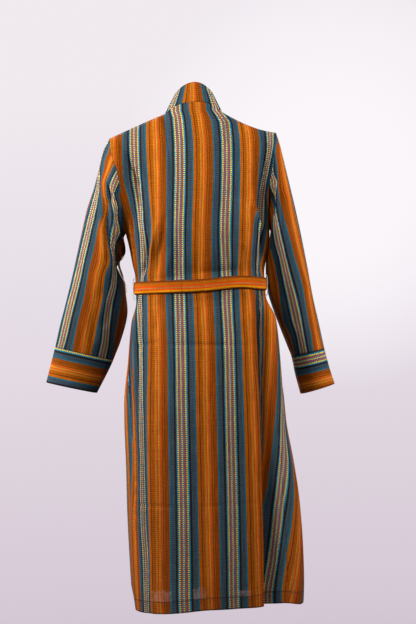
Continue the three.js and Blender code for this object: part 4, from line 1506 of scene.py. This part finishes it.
BANDS = [
    # half of the orange band, from its middle
    (0, AMBER, AMBER), (0.8, EMBER, EMBER), (3.2, LILAC, LILAC), (5.5, AMBER, ORANGE),
    (8, ORANGE, ORANGE_DARK), (15.2, BROWN, BROWN), (17.6, ORANGE, ORANGE),
    # the dark border
    (24.15, TEAL, TEAL), (28.5, SLATE, SLATE_BLUE), (38.2, MAROON, MAROON),
    # the many-coloured band
    (43.5, SKY, SKY), (46.3, YELLOW, YELLOW_GAP), (49.7, PLUM, PLUM), (51.6, RED, RED_GAP),
    (54.4, PLUM, SKY), (56.7, YELLOW, YELLOW_GAP), (59.7, SKY, PLUM), (61.6, RED, RED_GAP),
    (64.4, PLUM, PLUM), (66.3, YELLOW, YELLOW_GAP), (69.7, SKY, SKY),
    # the border again, the other way round
    (72.5, MAROON, MAROON), (77.8, SLATE_BLUE, SLATE), (87.5, TEAL, TEAL),
    # the other half of the orange band
    (91.85, ORANGE_DARK, ORANGE_DARK), (99.8, ORANGE_DARK, BROWN), (102, ORANGE, ORANGE_DARK),
    (104.7, ORANGE_DARK, BROWN), (107, ORANGE, ORANGE), (109.5, EMBER, EMBER),
    (112, LILAC, LILAC), (114.3, AMBER, AMBER),
]
print("bands in one repeat:", len(BANDS))

# %% [markdown]
# The weave is plain and the yarn is matt, so the cloth has almost no shine. Its colour is
# uneven from yarn to yarn. It is also darker towards the foot as painted shade, for light that
# falls off downward, which makes the orange warmer and darker low down. Noise drawn out along
# the threads gives the unevenness, and the weave itself is small enough to stay in the bump.

# %% The cloth's place, its uneven yarn and its weave
THREAD_PITCH = 0.9
NOISE_LOW, NOISE_HIGH = 0.3, 0.7  # the part of a noise that is spread over a factor


def dress(piece, material):
    piece.data.materials.clear()
    piece.data.materials.append(material)


def map_place(paint, name):
    """The two numbers of a UV map, in millimetres."""
    place = paint.node("ShaderNodeUVMap", {"uv_map": name}, {})
    across, along = paint.node("ShaderNodeSeparateXYZ", {}, {0: place}, 0, 1)
    return across * 1000, along * 1000


def streaks(paint, u, v, across, along, low, high):
    """Thin uneven lines, across and along sizes in millimetres, as a factor from low to high."""
    place = paint.node("ShaderNodeCombineXYZ", {}, {0: u / across, 1: v / along, 2: 0.0})
    return paint.between(paint.noise(place, 1.0), NOISE_LOW, NOISE_HIGH, low, high)


def weave(paint, u, v):
    """Bump of a plain weave: small humps that change places from thread to thread."""
    warp = paint.math("SINE", u * (2 * math.pi / THREAD_PITCH))
    weft = paint.math("SINE", v * (2 * math.pi / THREAD_PITCH))
    slub = streaks(paint, u, v, 1.2, 26, -0.6, 0.6) + streaks(paint, u, v, 22, 1.2, -0.6, 0.6)
    height = warp * weft * 0.35 + slub
    inputs = {"Strength": 0.35, "Distance": 0.0004, "Height": height}
    return paint.node("ShaderNodeBump", {}, inputs)


print("threads to the centimetre:", round(10 / THREAD_PITCH))

# %% The tone of worn cotton, and painted shade low down
# Sizes across and along the cloth, and the lowest and highest factor on the colour.
WARP_YARN = (2.4, 60, 0.74, 1.22)
WEFT_YARN = (50, 2.0, 0.88, 1.12)
BROAD_WASH = (90, 160, 0.95, 1.05)
# Painted shade: the colour is darker towards the foot, most in the warm colours, for light that falls off
# downward.
PAINTED_SHADE_FROM, PAINTED_SHADE_TO = -1000, -150  # painted shade, from darkest at the foot to none towards the shoulders
WARM_FULL = 0.13  # red over blue at which a colour counts as warm
WARM_PAINTED_SHADE = 0.24
COTTON_ROUGHNESS = 0.86
COTTON_SHINE = 0.03
PAINTED_SHADE_TONES = [(0.92, 0.99), (0.9, 1.04), (0.8, 1.0)]  # painted shade on red, green and blue, at the foot and the top


def finish_cloth(paint, base, u, v):
    uneven = streaks(paint, u, v, *WARP_YARN) * streaks(paint, u, v, *WEFT_YARN)
    broad = streaks(paint, u, v, *BROAD_WASH)
    # painted shade, darker towards the foot
    painted_light_up = paint.between(v, PAINTED_SHADE_FROM, PAINTED_SHADE_TO)
    red, blue = paint.node("ShaderNodeSeparateColor", {}, {0: base}, 0, 2)
    warm_painted_shade = paint.between(red - blue, 0.0, WARM_FULL, 0.0, WARM_PAINTED_SHADE)
    yarn_tone_and_painted_shade = uneven * (1.0 - (1.0 - painted_light_up) * warm_painted_shade) * broad
    channels = {k: yarn_tone_and_painted_shade * (low + painted_light_up * (high - low)) for k, (low, high) in enumerate(PAINTED_SHADE_TONES)}
    factor = paint.node("ShaderNodeCombineXYZ", {}, channels)
    paint.put(paint.shader.inputs["Base Color"], paint.mix(1.0, base, factor, "MULTIPLY"))
    paint.put(paint.shader.inputs["Normal"], weave(paint, u, v))
    paint.shader.inputs["Roughness"].default_value = COTTON_ROUGHNESS
    paint.shader.inputs["Specular IOR Level"].default_value = COTTON_SHINE
    return paint.material


# the span of the painted shade, from the foot up to the shoulders
print("the cloth fades over", PAINTED_SHADE_TO - PAINTED_SHADE_FROM, "mm")

# %% [markdown]
# The hem is turned up twice and stitched. It looks darker, because three layers let no light
# through, and that shade is painted into the colour. Its row of stitches draws a thin dark line,
# with painted shade in the groove along it. Just above it the cloth is single and thin, and in a
# few uneven patches the light behind it shows. Real light through cloth would need a
# translucent shader, so the patches are painted light in the colour.

# %% The hem
HEM_DEEP = 29  # height of the hem's stitching above its edge
STITCH_PITCH = 3.2
STITCH_SHARE = 0.25
FOLDED_PAINTED_SHADE = 0.16  # painted shade on the folded cloth and in the stitching's groove, then the stitches' dots
GROOVE_PAINTED_SHADE = 0.3
DOTS_DARKEN = 0.2
HEM_SHADE = colour(8, 6, 8)
GLOW_TINT = colour(128, 104, 100)
GLOW_FULL = 0.28
# Where light comes through: place across, height over the stitching, half width, half height.
HEM_GLOWS = [(112, 13, 25, 17), (25, 11, 16, 17), (-84, 6, 16, 9)]


def hem(paint, base, u, v):
    above, _ = map_place(paint, "hem")
    up = above - HEM_DEEP
    below = paint.between(up, -1.0, 1.0, 1.0, 0.0)
    groove = paint.between(paint.math("ABSOLUTE", up), 0.9, 2.4, 1.0, 0.0)
    dots = paint.math("GREATER_THAN", paint.wrap(u / STITCH_PITCH), STITCH_SHARE)
    # painted shade on the folded hem and in the groove of the stitching; the dots are the stitches
    shade = below * FOLDED_PAINTED_SHADE + groove * (GROOVE_PAINTED_SHADE + dots * DOTS_DARKEN)
    base = paint.mix(shade, base, HEM_SHADE)
    ragged = streaks(paint, u, v, 9, 14, -0.55, 0.75)
    glow = 0.0
    for place, height, half, tall in HEM_GLOWS:
        away = paint.math("POWER", (u - place) / half, 4.0)
        away = away + paint.math("POWER", (up - height) / tall, 4.0)
        glow = glow + paint.between(away + ragged, 0.1, 1.1, 1.0, 0.0)
    warps = streaks(paint, u, v, 1.6, 200, 0.35, 1.0)
    return paint.mix(glow * warps * GLOW_FULL * (1.0 - below), base, GLOW_TINT)


print("the hem:", HEM_DEEP, "mm deep, with", len(HEM_GLOWS), "pale patches over it")

# %% The striped cotton
DASH_PITCH = 4.75  # one dash and its gap, along the stripe
DASH_SHARE = 0.56


def striped(name):
    paint = Paint(name)
    u, v = map_place(paint, "cloth")
    place = paint.wrap(u / REPEAT)
    on_dash = paint.chart(place, [(start / REPEAT, a) for start, a, _ in BANDS])
    off_dash = paint.chart(place, [(start / REPEAT, b) for start, _, b in BANDS])
    gap = paint.math("GREATER_THAN", paint.wrap(v / DASH_PITCH), DASH_SHARE)
    stripes = paint.mix(gap, on_dash, off_dash)
    return finish_cloth(paint, hem(paint, stripes, u, v), u, v)


striped_cotton = striped("striped cotton")
for piece in (back, front_left, front_right, neckband_back, neckband_left, neckband_right,
              sleeve_left, sleeve_right, cuff_left, cuff_right):
    dress(piece, striped_cotton)
print("striped cotton:", len(striped_cotton.node_tree.nodes), "nodes")

# %% [markdown]
# The belt is one strip of the pattern cut lengthwise and folded, with a brown stripe at both
# edges and a seam where two lengths are joined. The thread is matt and pale.

# %% The belt's cotton and the thread
BELT_BANDS = [
    (0, BROWN), (2.4, ORANGE_DARK), (5.0, ORANGE), (11.6, EMBER), (15.8, LILAC),
    (18.6, EMBER), (22.4, AMBER), (26.4, ORANGE_DARK), (28.6, BROWN),
]
BELT_JOIN = 55  # place round the body of the seam that joins two lengths of belt


def belt_cotton():
    paint = Paint("belt cotton")
    u, v = map_place(paint, "cloth")
    base = paint.chart(u / BELT_WIDTH, [(start / BELT_WIDTH, c) for start, c in BELT_BANDS])
    seam = paint.between(paint.math("ABSOLUTE", v - BELT_JOIN), 0.5, 1.6, 0.5, 0.0)
    base = paint.mix(seam, base, BROWN)
    return finish_cloth(paint, base, u, v)


belt_material = belt_cotton()
for piece in (belt, belt_knot, *tails):
    dress(piece, belt_material)

thread_paint = Paint("pale thread")
thread_paint.shader.inputs["Base Color"].default_value = colour(214, 220, 206)
thread_paint.shader.inputs["Roughness"].default_value = 0.7
for piece in thread_pieces:
    dress(piece, thread_paint.material)
print("materials:", [material.name for material in bpy.data.materials])

# %% [markdown]

# %% [markdown]
# ## The surround
#
# The robe stands in front of a pale lilac cloth backdrop, paler up and to one side. A real
# backdrop would have to turn with every view, so the world's colour takes its place: a ramp
# from the ground to the sky, and a pale patch in one direction.

# %% The surround
# Height from straight down (0) to straight up (1), and the colour there.
SHADES = [
    (0.0, colour(104, 96, 104)), (0.36, colour(186, 174, 186)), (0.42, colour(212, 200, 212)),
    (0.49, colour(228, 219, 228)), (0.56, colour(240, 234, 239)), (1.0, colour(236, 232, 238)),
]
PALE_WAY = (-0.0686, -0.9953, 0.0692)
PALE_SPAN = (0.9935, 0.9992)  # cosines of the patch's outer and inner angle
PALE = colour(250, 246, 250)

world = bpy.data.worlds.new("studio")
bpy.context.scene.world = world
world.use_nodes = True
sky = Nodes(world.node_tree)
way = sky.node("ShaderNodeTexCoord", {}, {}, "Generated")
height = sky.node("ShaderNodeSeparateXYZ", {}, {0: way}, 2)
shade = sky.ramp(sky.between(height, -1.0, 1.0), SHADES)
settings = {"operation": "DOT_PRODUCT"}
toward = sky.node("ShaderNodeVectorMath", settings, {0: way, 1: PALE_WAY}, "Value")
shade = sky.mix(sky.between(toward, *PALE_SPAN), shade, PALE)
sky.put(world.node_tree.nodes["Background"].inputs["Color"], shade)
print("shades of the surround:", len(SHADES))

# %% [markdown]
# ## Light and camera
#
# Two soft lamps beside the camera light the back and one at each side lights the sleeves and
# the skirt's edges. One fills the back from above and one lights the front. Area lamps give
# the soft shadows of a studio's large boxes, where sun or point lamps would be too hard.
# The camera stands 4.5 m behind the robe, a little above its middle, with a long lens, and it
# is turned by two degrees.

# %% The lamps
WARM = (1.0, 0.97, 0.94)
# Name, place, what it aims at, size, power in watts and tint.
LAMPS = [
    ("left key", (1.75, 0.95, 0.6), (0.15, 0, -0.2), 0.45, 88, WARM),
    ("right key", (-1.75, 0.95, 0.6), (-0.15, 0, -0.2), 0.45, 94, WARM),
    ("left side", (2.2, 0.4, -0.1), (0.3, 0, -0.33), 0.5, 150, WARM),
    ("right side", (-2.2, 0.4, -0.1), (-0.26, 0, -0.33), 0.5, 52, WARM),
    ("back fill", (0.1, 1.7, 1.5), (0, 0, -0.05), 0.8, 66, WARM),
    ("front fill", (0.5, -2.2, 1.3), (0, 0, -0.4), 1.2, 120, (1.0, 0.98, 0.97)),
]
for name, place, aim, size, power, tint in LAMPS:
    light = bpy.data.lights.new(name, "AREA")
    light.shape = "SQUARE"
    light.size = size
    light.energy = power
    light.color = tint
    lamp = bpy.data.objects.new(name, light)
    bpy.context.scene.collection.objects.link(lamp)
    lamp.location = place
    lamp.rotation_euler = (Vector(aim) - Vector(place)).to_track_quat("-Z", "Y").to_euler()
    print(name, power, "W")

# %% The camera
CAMERA_PLACE = (-0.0135, 4.5, -0.4876)
CAMERA_LENS = 105.96
CAMERA_ROLL = math.radians(2)

camera_data = bpy.data.cameras.new("camera")
camera_data.lens = CAMERA_LENS
camera = bpy.data.objects.new("camera", camera_data)
bpy.context.scene.collection.objects.link(camera)
cos_roll, sin_roll = math.cos(CAMERA_ROLL), math.sin(CAMERA_ROLL)
camera.matrix_world = Matrix((
    (-cos_roll, -sin_roll, 0, CAMERA_PLACE[0]),
    (0, 0, 1, CAMERA_PLACE[1]),
    (-sin_roll, cos_roll, 0, CAMERA_PLACE[2]),
    (0, 0, 0, 1),
))
bpy.context.scene.camera = camera
bpy.context.scene.view_settings.view_transform = "Standard"
print("camera", CAMERA_PLACE, "lens", CAMERA_LENS, "mm")
